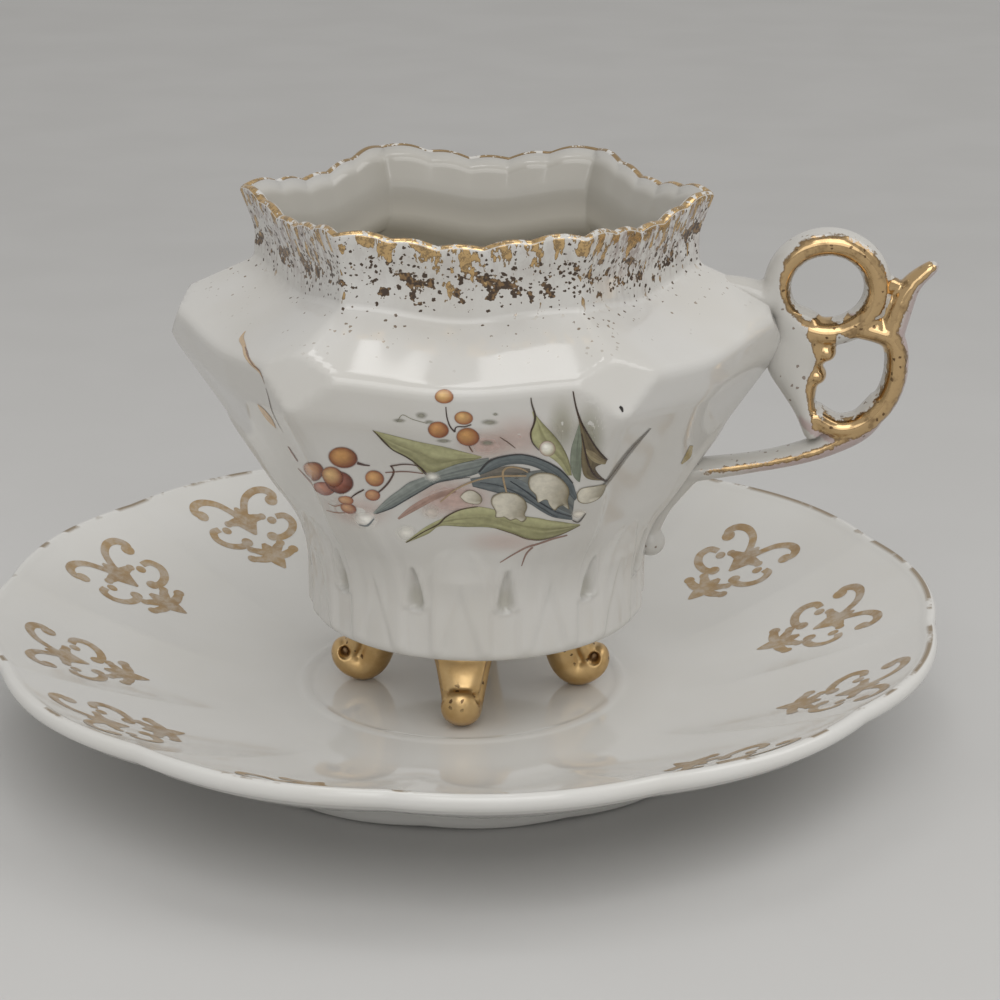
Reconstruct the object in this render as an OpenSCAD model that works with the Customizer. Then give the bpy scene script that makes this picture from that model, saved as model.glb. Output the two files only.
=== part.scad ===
// Demitasse cup and saucer in glazed porcelain.
// The saucer is a round dish with lobed panels on a foot ring. The cup is a hexagon that turns
// round towards its base, with a scalloped rim, an openwork scroll handle and four scroll feet.
// Handle and feet are cast apart from the cup body and joined to it with slip.

/* [Saucer] */
// Diameter across opposite lobes
saucer_d = 121; // [110:1:140]
// Height of the lobe tips above the table
saucer_h = 16.9; // [14:0.1:22]
// Thickness of the dish, measured upright
saucer_wall = 2.4; // [1.8:0.1:3.2]
// Number of lobes round the edge
lobes = 12; // [8:1:16]
// Turn of the first lobe from the handle's side, in degrees
lobe_turn = 11; // [0:1:30]
// Depth of the notches between the lobes
lobe_notch = 0.9; // [0.3:0.1:1.5]
// Height of the soft ridges between the lobed panels
lobe_ridge = 0.8; // [0.2:0.1:1.2]
// Diameter of the raised line round the well
well_d = 40.6; // [36:0.1:48]
// Height of the raised line
well_line_h = 0.3; // [0.1:0.05:0.6]
// Width of the raised line
well_line_w = 1.2; // [0.6:0.1:2]
// Height of the well's floor above the table
well_z = 5.6; // [4.4:0.1:8]
// Diameter where the floor starts to rise to the edge
dish_d = 54; // [48:1:60]
// Power of the dish's rising curve
dish_power = 1.75; // [1.4:0.05:2.2]

/* [Foot ring] */
// Outside diameter of the ring that the saucer stands on
ring_d = 67.8; // [56:0.1:76]
// Width of the ring's flat sole
ring_sole = 2.4; // [1.5:0.1:4]
// Slope of the ring's sides, as widening from the sole to the dish
ring_flare = 0.8; // [0.2:0.1:1.5]

/* [Cup body] */
// Offset of the cup from the saucer's centre, towards the handle
cup_x = 1.9; // [-3:0.1:3]
// Offset of the cup from the saucer's centre, towards the back
cup_y = -1.1; // [-3:0.1:3]
// Radius of the round base
base_r = 21.1; // [18:0.1:24]
// Rounding under the base's edge
base_round = 1.7; // [0.8:0.1:2.5]
// Height of the waist, where the hexagon begins, above the base
waist_h = 10.6; // [8:0.1:12]
// Radius of the curve at the waist
waist_round = 12; // [5:0.5:14]
// Corner radius of the hexagon at the brow, where the panels turn up to the ridge
brow_r = 37.5; // [35:0.1:39]
// Distance of the brow below the ridge
brow_drop = 5; // [4:0.1:6]
// Rounding of the brow, seen from the side
brow_round = 8; // [4:0.5:9]
// How far the hexagon's corners stand out further at the ridge, before rounding
ridge_out = 1.4; // [0.5:0.1:2.5]
// Height of the ridge above the base
ridge_h = 39.3; // [37:0.1:41]
// Rounding of the ridge, seen from the side
ridge_round = 1.5; // [1:0.1:2.5]
// Rounding of the hexagon's corners at the ridge, seen from above
ridge_corner = 1.5; // [1:0.1:4]
// Depth of the flats that cut the corners off, at the ridge
corner_cut = 2.9; // [1:0.1:4]
// Lean of these flats, in millimetres outward for each millimetre down
flat_lean = 0.4; // [0:0.05:0.6]
// How quickly the round base turns into the hexagon
corner_power = 4; // [2:0.1:6]
// Corner radius of the hexagon where the shoulder meets the neck
crease_r = 27.2; // [25:0.1:30]
// Height of that crease above the base
crease_h = 44.7; // [42:0.1:46]
// Rounding of the crease
crease_round = 1.3; // [0.6:0.1:2]
// Corner radius at the neck
neck_r = 27; // [25:0.1:30]
// Height of the neck above the base
neck_h = 48.4; // [47.5:0.1:50]
// Rounding of the neck
neck_round = 6; // [3:0.5:8]
// Corner radius at the rim
rim_r = 28.7; // [28:0.1:32]
// Height of the rim's corner tips above the base
rim_h = 54.1; // [53:0.1:58]
// Rounding of the hexagon's corners at the neck and the rim, seen from above
rim_corner = 1; // [0.5:0.1:3]
// Scallops on each side of the rim
scallops = 5; // [3:1:7]
// Depth of the scallops
scallop_d = 0.45; // [0.2:0.05:1]
// How far the middle of each side sags below its corners
panel_sag = 1.5; // [0:0.1:2]
// Thickness of the cup's wall
cup_wall = 2; // [1.4:0.1:2.6]
// Thickness of the cup's floor
cup_floor = 2.6; // [2:0.1:4]

/* [Handle] */
// Distance of the handle's middle below the ridge
handle_drop = 2.1; // [1:0.1:4]
// Half the width of the handle, front to back
handle_half_w = 2.6; // [2:0.1:3.5]
// Half the thickness of the upper ring's band
loop_half = 1.7; // [1.3:0.05:2]
// Width of the finger hole in the upper ring
loop_hole_w = 8.7; // [7:0.1:10]
// Height of the finger hole in the upper ring
loop_hole_h = 7.8; // [6:0.1:9]
// Distance of the upper ring's centre out from the cup's brow
loop_out = 5.2; // [5:0.1:7]
// Height of the upper ring's centre above the handle's middle
loop_up = 4.8; // [4:0.1:6]
// Half the thickness of the lower loop's band
stem_half = 1.5; // [1.2:0.05:1.8]
// Half the thickness of the lower arm
arm_half = 1.2; // [1:0.1:1.6]
// Distance of the lower arm's joint below the handle's middle
arm_drop = 18.7; // [17:0.1:20]
// Reach of the thumb spur's tip from the cup's brow
spur_out = 18; // [16:0.1:19]
// Radius of the bead that ends the lower arm
bead_r = 1.9; // [1.4:0.1:2.4]

/* [Feet] */
// Height of the feet
foot_h = 10.7; // [9:0.1:13]
// Distance of the soles from the cup's axis
foot_r = 13.7; // [12:0.1:15]
// Offset of the hand-set feet from the cup's axis, towards the handle
foot_x = -0.9; // [-2:0.1:2]
// Half the width of a foot at its top
foot_top_half = 4.5; // [3.2:0.1:5]
// Half the width of a foot at its toe
foot_toe_half = 2.5; // [2:0.1:3]
// Radius of the toe's scroll
toe_r = 2.1; // [1.6:0.1:2.4]

/* [Clearances] */
// Gap between the feet's soles and the well
seat_gap = 0.05; // [0.02:0.01:0.2]
// Thickness of the slip joint between the cup body and what is joined to it
slip_gap = 0.03; // [0.02:0.01:0.1]

/* [Hidden] */

porcelain = [0.93, 0.93, 0.91];
gilt = [0.78, 0.60, 0.30];

// Facets round one lobe, round one scallop and across the wall of a swept scroll
lobe_facets = 8;
scallop_facets = 3;
scroll_sides = 10;

// Depth by which each link of a scroll laps into the one before it, and how far its end is drawn in there
link_lap = 0.2;
link_draw = 0.7;

base_z = well_z + seat_gap + foot_h;
sides = 6;
side_turn = 360 / sides;

// Small helpers
function unit(v) = v / norm(v);
function mix(a, b, t) = a + (b - a) * t;
function smooth(t) = let (s = max(0, min(1, t))) s * s * (3 - 2 * s);
function cross2(a, b) = a[0] * b[1] - a[1] * b[0];

// Arc of radius rad that rounds the corner b of the path a, b, c, in n steps
function corner_arc(a, b, c, rad, n) =
    let (
        u = unit(a - b),
        w = unit(c - b),
        half = acos(max(-1, min(1, u * w))) / 2,
        centre = b + unit(u + w) * rad / sin(half),
        from = b + u * rad / tan(half) - centre,
        start = atan2(from[1], from[0]),
        turn = (cross2(u, w) > 0 ? -1 : 1) * (180 - 2 * half)
    )
    [for (i = [0:n]) centre + rad * [cos(start + turn * i / n), sin(start + turn * i / n)]];

// Path of corners [r, z, rounding, steps] with each inner corner rounded
function rounded_path(p) =
    let (last = len(p) - 1)
    [for (i = [0:last])
        for (q = i == 0 || i == last
                ? [[p[i][0], p[i][1]]]
                : corner_arc([p[i - 1][0], p[i - 1][1]], [p[i][0], p[i][1]],
                             [p[i + 1][0], p[i + 1][1]], p[i][2], p[i][3])) q];

// Normals on the right-hand side of a path, which is outwards for a profile that climbs
function path_normals(p) =
    [for (i = [0:len(p) - 1])
        let (t = unit(p[min(i + 1, len(p) - 1)] - p[max(i - 1, 0)])) [t[1], -t[0]]];

// Smooth curve through points of any dimension, with n steps between neighbours
function curve(p, n) =
    let (last = len(p) - 1)
    concat([for (i = [0:last - 1]) for (k = [0:n - 1])
        let (t = k / n, a = p[max(i - 1, 0)], b = p[i], c = p[i + 1], d = p[min(i + 2, last)])
        0.5 * (2 * b + (c - a) * t + (2 * a - 5 * b + 4 * c - d) * t * t
            + (3 * b - a - 3 * c + d) * t * t * t)], [p[last]]);

// Closed skin over rings of equal length, with both ends closed by fans round their middles
module skin(rings) {
    n = len(rings[0]);
    m = len(rings);
    points = concat([for (ring = rings) each ring], [mean(rings[0]), mean(rings[m - 1])]);
    walls = [for (j = [0:m - 2]) for (i = [0:n - 1])
        let (k = (i + 1) % n, a = j * n + i, b = j * n + k, c = a + n, d = b + n)
        each [[a, c, b], [b, c, d]]];
    ends = [for (i = [0:n - 1]) let (k = (i + 1) % n)
        each [[n * m, i, k], [n * m + 1, (m - 1) * n + k, (m - 1) * n + i]]];
    polyhedron(points, concat(walls, ends), convexity = 8);
}
function mean(p) = [for (i = [0:len(p) - 1]) 1] * p / len(p);

// Saucer

saucer_r = saucer_d / 2;
edge_round = saucer_wall / 4;
dish_r = dish_d / 2;
edge_r = saucer_r - edge_round;
lobe_angles = [for (i = [0:lobes * lobe_facets - 1]) lobe_turn + i * 360 / lobes / lobe_facets];

// Share of the way from the floor to the edge at radius r
function dish_share(r) = max(0, min(1, (r - dish_r) / (edge_r - dish_r)));

// Height of the dish's upper surface at radius r, before the lobes
function dish(r) = well_z + (saucer_h - well_z) * pow(dish_share(r), dish_power);

// 0 in the middle of a lobe and 1 in the notch beside it
function notch(a) = 1 - abs(cos((a - lobe_turn) * lobes / 2));

// Ring of the dish at radius r, at a depth below the upper surface
function dish_ring(r, depth) =
    let (rise = smooth(dish_share(r)), swell = 4 * rise * (1 - rise))
    [for (a = lobe_angles)
        let (rr = r - lobe_notch * notch(a) * rise)
        [rr * cos(a), rr * sin(a), dish(r) + lobe_ridge * notch(a) * swell - depth]];

// Ring of the flat well at radius r, raised by up
function well_ring(r, up) = [for (a = lobe_angles) [r * cos(a), r * sin(a), well_z + up]];

// The ring that the saucer stands on, sunk into the dish by half its wall
module foot_ring() {
    top = well_z - saucer_wall / 2;
    rotate_extrude($fn = 96) polygon([
        [ring_d / 2 - ring_sole, 0], [ring_d / 2, 0],
        [ring_d / 2 + ring_flare, top], [ring_d / 2 - ring_sole - ring_flare, top]]);
}

module saucer() {
    line_r = well_d / 2;
    under = [for (t = [0, 0.33, 0.55, 0.77, 0.95]) dish_ring(mix(dish_r, edge_r, t), saucer_wall)];
    edge = [dish_ring(edge_r, saucer_wall - edge_round / 2), dish_ring(saucer_r, saucer_wall / 2)];
    upper = [for (t = [1:-0.16:0.1]) dish_ring(mix(dish_r, edge_r, t), 0)];
    line = [
        well_ring(line_r + well_line_w / 2, 0),
        well_ring(line_r, well_line_h),
        well_ring(line_r - well_line_w / 2, 0)];
    color(porcelain) union() {
        skin(concat(under, edge, upper, line));
        foot_ring();
    }
}

// Cup body

waist = [base_r, base_z + waist_h];
ridge = [brow_r + ridge_out, base_z + ridge_h];
brow = [brow_r, ridge[1] - brow_drop];
crease = [crease_r, base_z + crease_h];
rim_z = base_z + rim_h;
neck_z = base_z + neck_h;
floor_z = base_z + cup_floor;
lip_round = cup_wall / 3;

// Outside of the cup along a corner of the hexagon, from under the base to the rim
cup_profile = rounded_path([
    [base_r / 2, base_z],
    [base_r, base_z, base_round, 3],
    [waist[0], waist[1], waist_round, 3],
    [brow[0], brow[1], brow_round, 2],
    [ridge[0], ridge[1], ridge_round, 3],
    [crease[0], crease[1], crease_round, 2],
    [neck_r, neck_z, neck_round, 3],
    [rim_r, rim_z - lip_round]]);

// Rounding of the hexagon's corners at radius r and height z: round at the base, crisp at the rim
function corner_round(r, z) =
    let (t = max(0, min(1, (z - waist[1]) / (ridge[1] - waist[1]))))
    z <= waist[1] ? r
    : z <= ridge[1] ? ridge_corner + (r - ridge_corner) * pow(1 - t, corner_power)
    : mix(ridge_corner, rim_corner, min(1, (z - ridge[1]) / (crease[1] - ridge[1])));

// Distance of the corner flats from the cup's axis at height z
function flat_at(z) = ridge[0] - corner_cut + flat_lean * (ridge[1] - z);

// Angle from the nearest corner of the hexagon
function from_corner(a) = abs((a + side_turn / 2) % side_turn - side_turn / 2);

// Radius of a hexagon of corner radius r and corner rounding rad, at an angle from its corner
function hexagon_r(r, rad, a) =
    let (
        c = r - rad,
        half = side_turn / 2,
        tangent = atan2(rad * sin(half), c + rad * cos(half))
    )
    a < tangent ? c * cos(a) + sqrt(max(0, rad * rad - pow(c * sin(a), 2)))
    : (c * cos(half) + rad) / cos(half - a);

// Drop of the surface in the middle of a side, and in the gaps between the rim's scallops
function side_drop(a, z) =
    panel_sag * smooth((z - waist[1]) / (ridge[1] - waist[1])) * (1 - cos(sides * from_corner(a))) / 2
    + scallop_d * smooth((z - neck_z) / (rim_z - neck_z)) * (1 - abs(sin(180 * scallops * a / side_turn)));

// Ring of the cup of corner radius r at height z, at a depth in the wall that the rounding and flats follow
function cup_ring(r, z, depth = 0) =
    let (
        n = sides * scallops * scallop_facets,
        rad = max(rim_corner / 2, corner_round(r + depth, z) - depth)
    )
    [for (i = [0:n - 1])
        let (
            a = i * 360 / n,
            turn = from_corner(a),
            rr = min(hexagon_r(r, rad, turn), (flat_at(z) - depth) / cos(turn))
        )
        [cup_x + rr * cos(a), cup_y + rr * sin(a), z - side_drop(a, z)]];

// The outside of the cup as a full solid, grown by a gap
module cup_outside(gap) {
    skin([for (p = cup_profile) cup_ring(p[0] + gap, p[1], -gap)]);
}

module cup_body() {
    normals = path_normals(cup_profile);
    last = len(cup_profile) - 1;
    outside = [for (p = cup_profile) cup_ring(p[0], p[1])];
    lip = [
        cup_ring(rim_r - cup_wall / 2, rim_z, cup_wall / 2),
        cup_ring(rim_r - cup_wall, rim_z - lip_round, cup_wall)];
    // Every other ring is enough inside, where nothing is moulded
    inside = [for (i = [last - 1:-1:0])
        let (p = cup_profile[i] - cup_wall * normals[i])
        if (cup_profile[i][1] > base_z + waist_h / 2 && i % 2 == 0) cup_ring(p[0], p[1], cup_wall)];
    inner_r = base_r - cup_wall;
    bottom = [
        cup_ring(inner_r, floor_z + base_round, cup_wall),
        cup_ring(inner_r - base_round, floor_z, cup_wall)];
    color(porcelain) skin(concat(outside, lip, inside, bottom));
}

// Scrolls, swept along paths of points [out, up, half thickness, half width]

// Oval section of a scroll at point p, square to the direction t
function section(p, t) =
    [for (i = [0:scroll_sides - 1])
        let (a = i * 360 / scroll_sides, d = p[2] * cos(a))
        [p[0] + d * t[1], p[3] * sin(a), p[1] - d * t[0]]];

// Drawn-in copy of a section, set back against the direction t
function lap(p, t) =
    section([p[0] - link_lap * t[0], p[1] - link_lap * t[1], link_draw * p[2], link_draw * p[3]], t);

// Convex piece round some sections
module link(points) {
    hull() polyhedron(points, [for (i = [0:len(points) - 3]) [i, i + 1, i + 2]]);
}

// Scroll along a path, closed into a loop if asked
module scroll(path, closed = false) {
    n = len(path);
    flat = [for (p = path) [p[0], p[1]]];
    directions = [for (i = [0:n - 1])
        let (
            before = closed ? (i + n - 1) % n : max(0, i - 1),
            after = closed ? (i + 1) % n : min(n - 1, i + 1)
        )
        unit(flat[after] - flat[before])];
    sections = [for (i = [0:n - 1]) section(path[i], directions[i])];
    for (i = [0:n - (closed ? 1 : 2)])
        link(concat(
            closed || i > 0 ? lap(path[i], directions[i]) : [],
            sections[i],
            sections[(i + 1) % n]));
}

// Handle

handle_z = ridge[1] - handle_drop;
loop_x = brow_r + loop_out;
loop_z = handle_z + loop_up;
loop_a = loop_hole_w / 2 + loop_half;
loop_b = loop_hole_h / 2 + loop_half;

// Point of the handle, out from the brow's corner and up from the handle's middle
function at(out, up, half, half_w = handle_half_w) = [brow_r + out, handle_z + up, half, half_w];

// Upper ring round the finger hole
upper_ring = [for (a = [0:18:342])
    [loop_x + loop_a * cos(a), loop_z + loop_b * sin(a), loop_half, handle_half_w]];

// Root that lies along the shoulder's corner and climbs into the ring
root = curve([
    concat(mix(ridge, crease, 0.88) - [0, 0.3], [0.7, 1.4]),
    concat(mix(ridge, crease, 0.55) - [0.2, 0.6], [1.4, 2]),
    [loop_x - loop_a - 1.2, loop_z - 1.4, 2, handle_half_w],
    [loop_x - loop_a + 0.2, loop_z + 0.5, 1.8, handle_half_w]], 3);

// Web between the cup's corner and the lower loop
web = curve([
    [loop_x - loop_a + 0.9, loop_z - 3.2, 1.7, handle_half_w],
    at(1.8, -1.4, 3.6), at(1.3, -4.6, 3.3), at(1.9, -7.4, 2.3), at(3, -10.6, 1.4), at(4.3, -13.8, 1.3)], 2);

// Outer stem round the lower loop
stem = curve([
    [loop_x + loop_a * 0.6, loop_z - loop_b * 0.84, stem_half, handle_half_w],
    at(13.1, -1.4, stem_half), at(13.9, -5.3, stem_half), at(12.8, -9.2, stem_half),
    at(10.2, -12, stem_half), at(7, -12.8, stem_half), at(4, -11.2, stem_half)], 3);

// Thumb spur that leaves the stem beside the ring
spur = curve([
    at(12.9, -1.5, stem_half + 0.2), at(13.9, 2.4, stem_half + 0.2, 2.2), at(spur_out - 2.6, 5.4, 1.2, 1.8),
    at(spur_out - 0.3, 7.5, 0.8, 1.2), at(spur_out, 7.8, 0.3, 0.4)], 3);

// Share of the way up the cup's lower corner, and the point there, at which the arm lands
arm_share = (handle_z - arm_drop - 0.5 - waist[1]) / (brow[1] - waist[1]);
arm_seat = mix(waist, brow, arm_share);

// Lower arm from the stem back to the cup
arm = curve([
    at(12.3, -9.5, stem_half, 2.4), at(9.9, -12.6, 1.8, 2.4), at(6.4, 3.8 - arm_drop, arm_half + 0.3, 2.4),
    at(2.2, 2.2 - arm_drop, arm_half + 0.1, 2.3), at(-3, 1 - arm_drop, arm_half, 2.2),
    concat(arm_seat + [2, 0.5], [arm_half + 0.2, 2.2]),
    concat(arm_seat - [1.5, 0], [arm_half + 0.3, 2.2])], 2);

// Tail of the arm that runs down the cup's corner to the bead
tail = curve([
    concat(arm_seat + [0.2, 0], [1.5, 1.9]),
    concat(mix(waist, arm_seat, 0.42) + [0.1, 0], [1.2, 1.6]),
    concat(waist + [0.5, -0.6], [1.2, 1.4])], 3);

module handle() {
    color(gilt) difference() {
        translate([cup_x, cup_y, 0]) {
            scroll(upper_ring, closed = true);
            scroll(root);
            scroll(web);
            scroll(stem);
            scroll(spur);
            scroll(arm);
            scroll(tail);
            for (bump = [at(5.2, -3.2, 1.3), at(4.1, -6.2, 1.2), at(11.3, 0.3, 1.3), at(13, 5.2, 1)])
                translate([bump[0], 0, bump[1]]) sphere(bump[2], $fn = 14);
            translate([base_r + 0.7, 0, waist[1] - 1.8]) sphere(bead_r, $fn = 16);
        }
        cup_outside(slip_gap);
    }
}

// Feet

sole_z = well_z + seat_gap;
top_z = base_z - slip_gap;
sole_cut = toe_r * 0.19;

// Foot in the plane of its scroll, from the cup down to the sole and out to the curled toe
foot_path = curve([
    [foot_r - toe_r * 0.9, top_z + sole_cut * 1.5, toe_r * 1.43, foot_top_half],
    [foot_r - toe_r * 1.05, mix(top_z, sole_z, 0.34), toe_r * 1.14, mix(foot_toe_half, foot_top_half, 0.5)],
    [foot_r - toe_r * 0.71, mix(top_z, sole_z, 0.68), toe_r * 1.05, mix(foot_toe_half, foot_top_half, 0.15)],
    [foot_r, sole_z + toe_r - sole_cut, toe_r, foot_toe_half],
    [foot_r + toe_r * 0.9, sole_z + toe_r * 1.33, toe_r * 0.95, foot_toe_half],
    [foot_r + toe_r * 1.1, sole_z + toe_r * 2.05, toe_r * 0.85, foot_toe_half * 0.9],
    [foot_r + toe_r * 1.05, sole_z + toe_r * 2.52, toe_r * 0.4, foot_toe_half * 0.45]], 2);

module foot(turn) {
    slab = 4 * foot_r;
    color(gilt) translate([cup_x + foot_x, cup_y, 0]) rotate(turn) difference() {
        scroll(foot_path);
        translate([0, 0, top_z + foot_h / 2]) cube([slab, slab, foot_h], center = true);
        translate([0, 0, sole_z - foot_h / 2]) cube([slab, slab, foot_h], center = true);
    }
}
module foot_right() { foot(0); }
module foot_back() { foot(90); }
module foot_left() { foot(180); }
module foot_front() { foot(270); }

saucer();
cup_body();
handle();
foot_right();
foot_back();
foot_left();
foot_front();
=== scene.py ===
# %% [markdown]
# A demitasse cup on four gilded feet, with its lobed saucer. The solids give every size and joint. This
# lesson builds finer shapes on the same sizes and then glazes, gilds and paints them, as the decorator
# of the set did.

# %% Tools and frame
import math
import bmesh
import bpy
import numpy as np
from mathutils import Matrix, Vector
from mathutils.bvhtree import BVHTree


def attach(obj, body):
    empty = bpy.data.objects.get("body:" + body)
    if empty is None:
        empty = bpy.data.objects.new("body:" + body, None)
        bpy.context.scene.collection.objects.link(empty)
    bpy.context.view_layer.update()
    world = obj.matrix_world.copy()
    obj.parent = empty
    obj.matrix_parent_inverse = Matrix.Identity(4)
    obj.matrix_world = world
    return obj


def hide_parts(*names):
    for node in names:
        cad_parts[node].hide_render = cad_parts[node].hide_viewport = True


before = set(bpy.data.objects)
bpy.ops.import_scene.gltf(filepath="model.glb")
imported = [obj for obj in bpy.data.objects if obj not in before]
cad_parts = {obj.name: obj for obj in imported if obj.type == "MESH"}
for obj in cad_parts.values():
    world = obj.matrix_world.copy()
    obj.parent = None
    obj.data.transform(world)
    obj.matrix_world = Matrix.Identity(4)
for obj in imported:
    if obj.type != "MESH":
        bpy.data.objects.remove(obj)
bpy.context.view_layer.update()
MM = 0.001


# %% [markdown]
# All shapes are worked out in millimetres and turned into metres when the mesh is made. Two small rules
# return everywhere: a straight mix of two values, and a soft step that starts and ends level, as worn
# clay does. A value for each point of a mesh can be kept with it, and a finish can read it there.

# %% Small helpers
def mix(a, b, t):
    return a + (b - a) * t


def smooth(t):
    s = np.clip(t, 0, 1)
    return s * s * (3 - 2 * s)


def make_piece(name, points, faces, material=None):
    mesh = bpy.data.meshes.new(name)
    mesh.from_pydata((np.asarray(points) * MM).tolist(), [], faces)
    mesh.polygons.foreach_set("use_smooth", np.ones(len(mesh.polygons), bool))
    piece = bpy.data.objects.new(name, mesh)
    bpy.context.scene.collection.objects.link(piece)
    if material:
        mesh.materials.append(material)
    return piece


def add_values(piece, name, values):
    store = piece.data.attributes.new(name, "FLOAT", "POINT")
    store.data.foreach_set("value", np.asarray(values, np.float32))


# %% [markdown]
# Shapes and finishes are both made with node graphs. A graph could be wired by hand, node after node,
# but then the idea is lost among the wires. So one small class sets a node and wires what it is given,
# and the sums that return most often have names of their own.

# %% Node helpers
def wire(tree, value, socket):
    if isinstance(value, bpy.types.NodeSocket):
        tree.links.new(value, socket)
    else:
        socket.default_value = value


class Graph:
    def put(self, kind, inputs=(), **settings):
        node = self.tree.nodes.new(kind)
        for key, value in settings.items():
            setattr(node, key, value)
        for key, value in dict(inputs).items():
            wire(self.tree, value, node.inputs[key])
        return node

    def calc(self, operation, *values):
        return self.put("ShaderNodeMath", enumerate(values), operation=operation).outputs[0]

    def plus(self, a, b):
        return self.calc("ADD", a, b)

    def minus(self, a, b):
        return self.calc("SUBTRACT", a, b)

    def times(self, a, b):
        return self.calc("MULTIPLY", a, b)

    def most(self, a, b):
        return self.calc("MAXIMUM", a, b)

    def ramp(self, value, low, high, out_low=0.0, out_high=1.0):
        ends = {"From Min": low, "From Max": high, "To Min": out_low, "To Max": out_high}
        node = self.put("ShaderNodeMapRange", {"Value": value, **ends}, interpolation_type="SMOOTHSTEP")
        return node.outputs["Result"]

    def split(self, vector):
        return self.put("ShaderNodeSeparateXYZ", {0: vector}).outputs


# %% [markdown]
# A finish is what lies on the real surface: glaze, gold, paint. Each reads as a short list of blends.
# Patterns are placed by the piece's own coordinates, so that they stay on it when it moves. Noise gives
# clouds and streaks, and flecks are the cells of a mosaic, of which each has its own chance to be a
# speck.

# %% Finishes
class Finish(Graph):
    def __init__(self, name):
        self.material = bpy.data.materials.new(name)
        self.material.use_nodes = True
        self.tree = self.material.node_tree

    def set(self, part, value):
        wire(self.tree, value, self.tree.nodes["Principled BSDF"].inputs[part])

    def done(self):
        print(self.material.name, "nodes", len(self.tree.nodes))
        return self.material

    def value(self, name):
        return self.put("ShaderNodeAttribute", attribute_name=name).outputs["Fac"]

    def blend(self, factor, a, b):
        return self.put("ShaderNodeMix", {0: factor, 6: a, 7: b}, data_type="RGBA").outputs[2]

    def along(self, axis):
        return self.split(self.put("ShaderNodeTexCoord").outputs["Object"])[axis]

    def scaled(self, size, stretch=(1, 1, 1), shift=0.0):
        spot = self.put("ShaderNodeTexCoord").outputs["Object"]
        scale = [s / (size * MM) for s in stretch]
        node = self.put("ShaderNodeMapping", {"Vector": spot, "Scale": scale, "Location": [shift] * 3})
        return node.outputs["Vector"]

    def noise(self, size, detail=2.0, rough=0.5, stretch=(1, 1, 1)):
        spot = self.scaled(size, stretch)
        inputs = {"Vector": spot, "Scale": 1.0, "Detail": detail, "Roughness": rough}
        return self.put("ShaderNodeTexNoise", inputs).outputs["Fac"]

    def flecks(self, size, shift=0.0):
        cells = self.put("ShaderNodeTexVoronoi", {"Vector": self.scaled(size, shift=shift), "Scale": 1.0})
        chance = self.put("ShaderNodeSeparateColor", {0: cells.outputs["Color"]}).outputs[0]
        ragged = self.times(self.minus(self.noise(size * 0.45, 2), 0.5), 0.75)
        return self.plus(cells.outputs["Distance"], ragged), chance


# %% [markdown]
# The glaze is a clear glass over white clay, a little warm where it lies thick. It could be one flat
# white, but fired glaze never is, so two whites drift into each other over about a centimetre.

# %% Glaze
GLAZE_PALE = (0.63, 0.62, 0.595, 1)
GLAZE_WARM = (0.60, 0.585, 0.55, 1)


def glaze_colour(coat):
    return coat.blend(coat.ramp(coat.noise(14), 0.35, 0.7), GLAZE_PALE, GLAZE_WARM)


print("Glaze from", GLAZE_PALE[:3], "to", GLAZE_WARM[:3])


# %% [markdown]
# Bright gold is painted on the fired glaze and burnished. It is a metal here, not a yellow paint, so
# that it mirrors the room. A few pits are left dark, and the eyes of the toes are painted dark, as shade.

# %% Gilding
coat = Finish("gilding")
tone = coat.ramp(coat.noise(2.2, 4, 0.6), 0.35, 0.7)
near, chance = coat.flecks(0.7, 5.0)
up = coat.along("Z")
band = coat.times(coat.ramp(up, 0.0085, 0.0095), coat.ramp(up, 0.012, 0.0112))
pits_and_eye_shade = coat.times(coat.ramp(near, 0.42, 0.34), coat.ramp(chance, 0.82, 0.84))
pits_and_eye_shade = coat.times(pits_and_eye_shade, band)
# The eyes of the toes are painted dark as well, as the shade in their hollows.
pits_and_eye_shade = coat.most(pits_and_eye_shade, coat.ramp(coat.value("eye"), 0.35, 0.85))
pits_and_eye_shade = coat.times(pits_and_eye_shade, 0.85)
tone = coat.blend(tone, (0.66, 0.46, 0.225, 1), (0.58, 0.38, 0.165, 1))
coat.set("Base Color", coat.blend(pits_and_eye_shade, tone, (0.09, 0.05, 0.03, 1)))
coat.set("Metallic", 1.0)
coat.set("Roughness", coat.ramp(coat.noise(1.2, 3), 0.3, 0.7, 0.28, 0.42))
gilding = coat.done()


# %% [markdown]
# The saucer is pressed over a turning mould, so its section is one line that is spun. It could be
# turned with a Screw modifier, but the lobes change it all the way round. So the section is kept as a
# curve, and the node group below samples it column by column.

# %% Saucer section
saucer_r = 60.48
saucer_h = 16.88
saucer_wall = 2.4
edge_r = saucer_r - 0.6
dish_r = 27.0
dish_power = 1.75
well_z = 5.6
line_r = 20.3
ring_in = 31.5
ring_out = 33.9


def dish(r):
    share = np.clip((r - dish_r) / (edge_r - dish_r), 0, 1)
    return well_z + (saucer_h - well_z) * share ** dish_power


def under(r):
    return dish(r) - saucer_wall


section = [(0, under(0)), (15, under(0)), (ring_in - 1.6, under(ring_in - 1.6)), (ring_in - 0.7, 2.9)]
section += [(ring_in - 0.1, 0.3), (ring_in + 0.2, 0.02), (ring_out - 0.3, 0.02), (ring_out, 0.3)]
section += [(ring_out + 0.5, 2.9), (ring_out + 1.4, under(ring_out + 1.4))]
section += [(r, under(r)) for r in np.linspace(ring_out + 3, edge_r - 0.8, 34)]
lip_z = dish(edge_r) - saucer_wall / 2
lip_from = len(section)
for turn in np.radians(np.linspace(-80, 80, 13)):
    section.append((edge_r - 0.6 + 1.2 * math.cos(turn), lip_z + 1.2 * math.sin(turn)))
section += [(r, dish(r)) for r in np.linspace(edge_r - 0.9, line_r + 1.2, 66)]
for step in np.linspace(1, -1, 9):
    section.append((line_r + 0.7 * step, well_z + 0.28 * (1 - step * step) ** 2))
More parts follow.
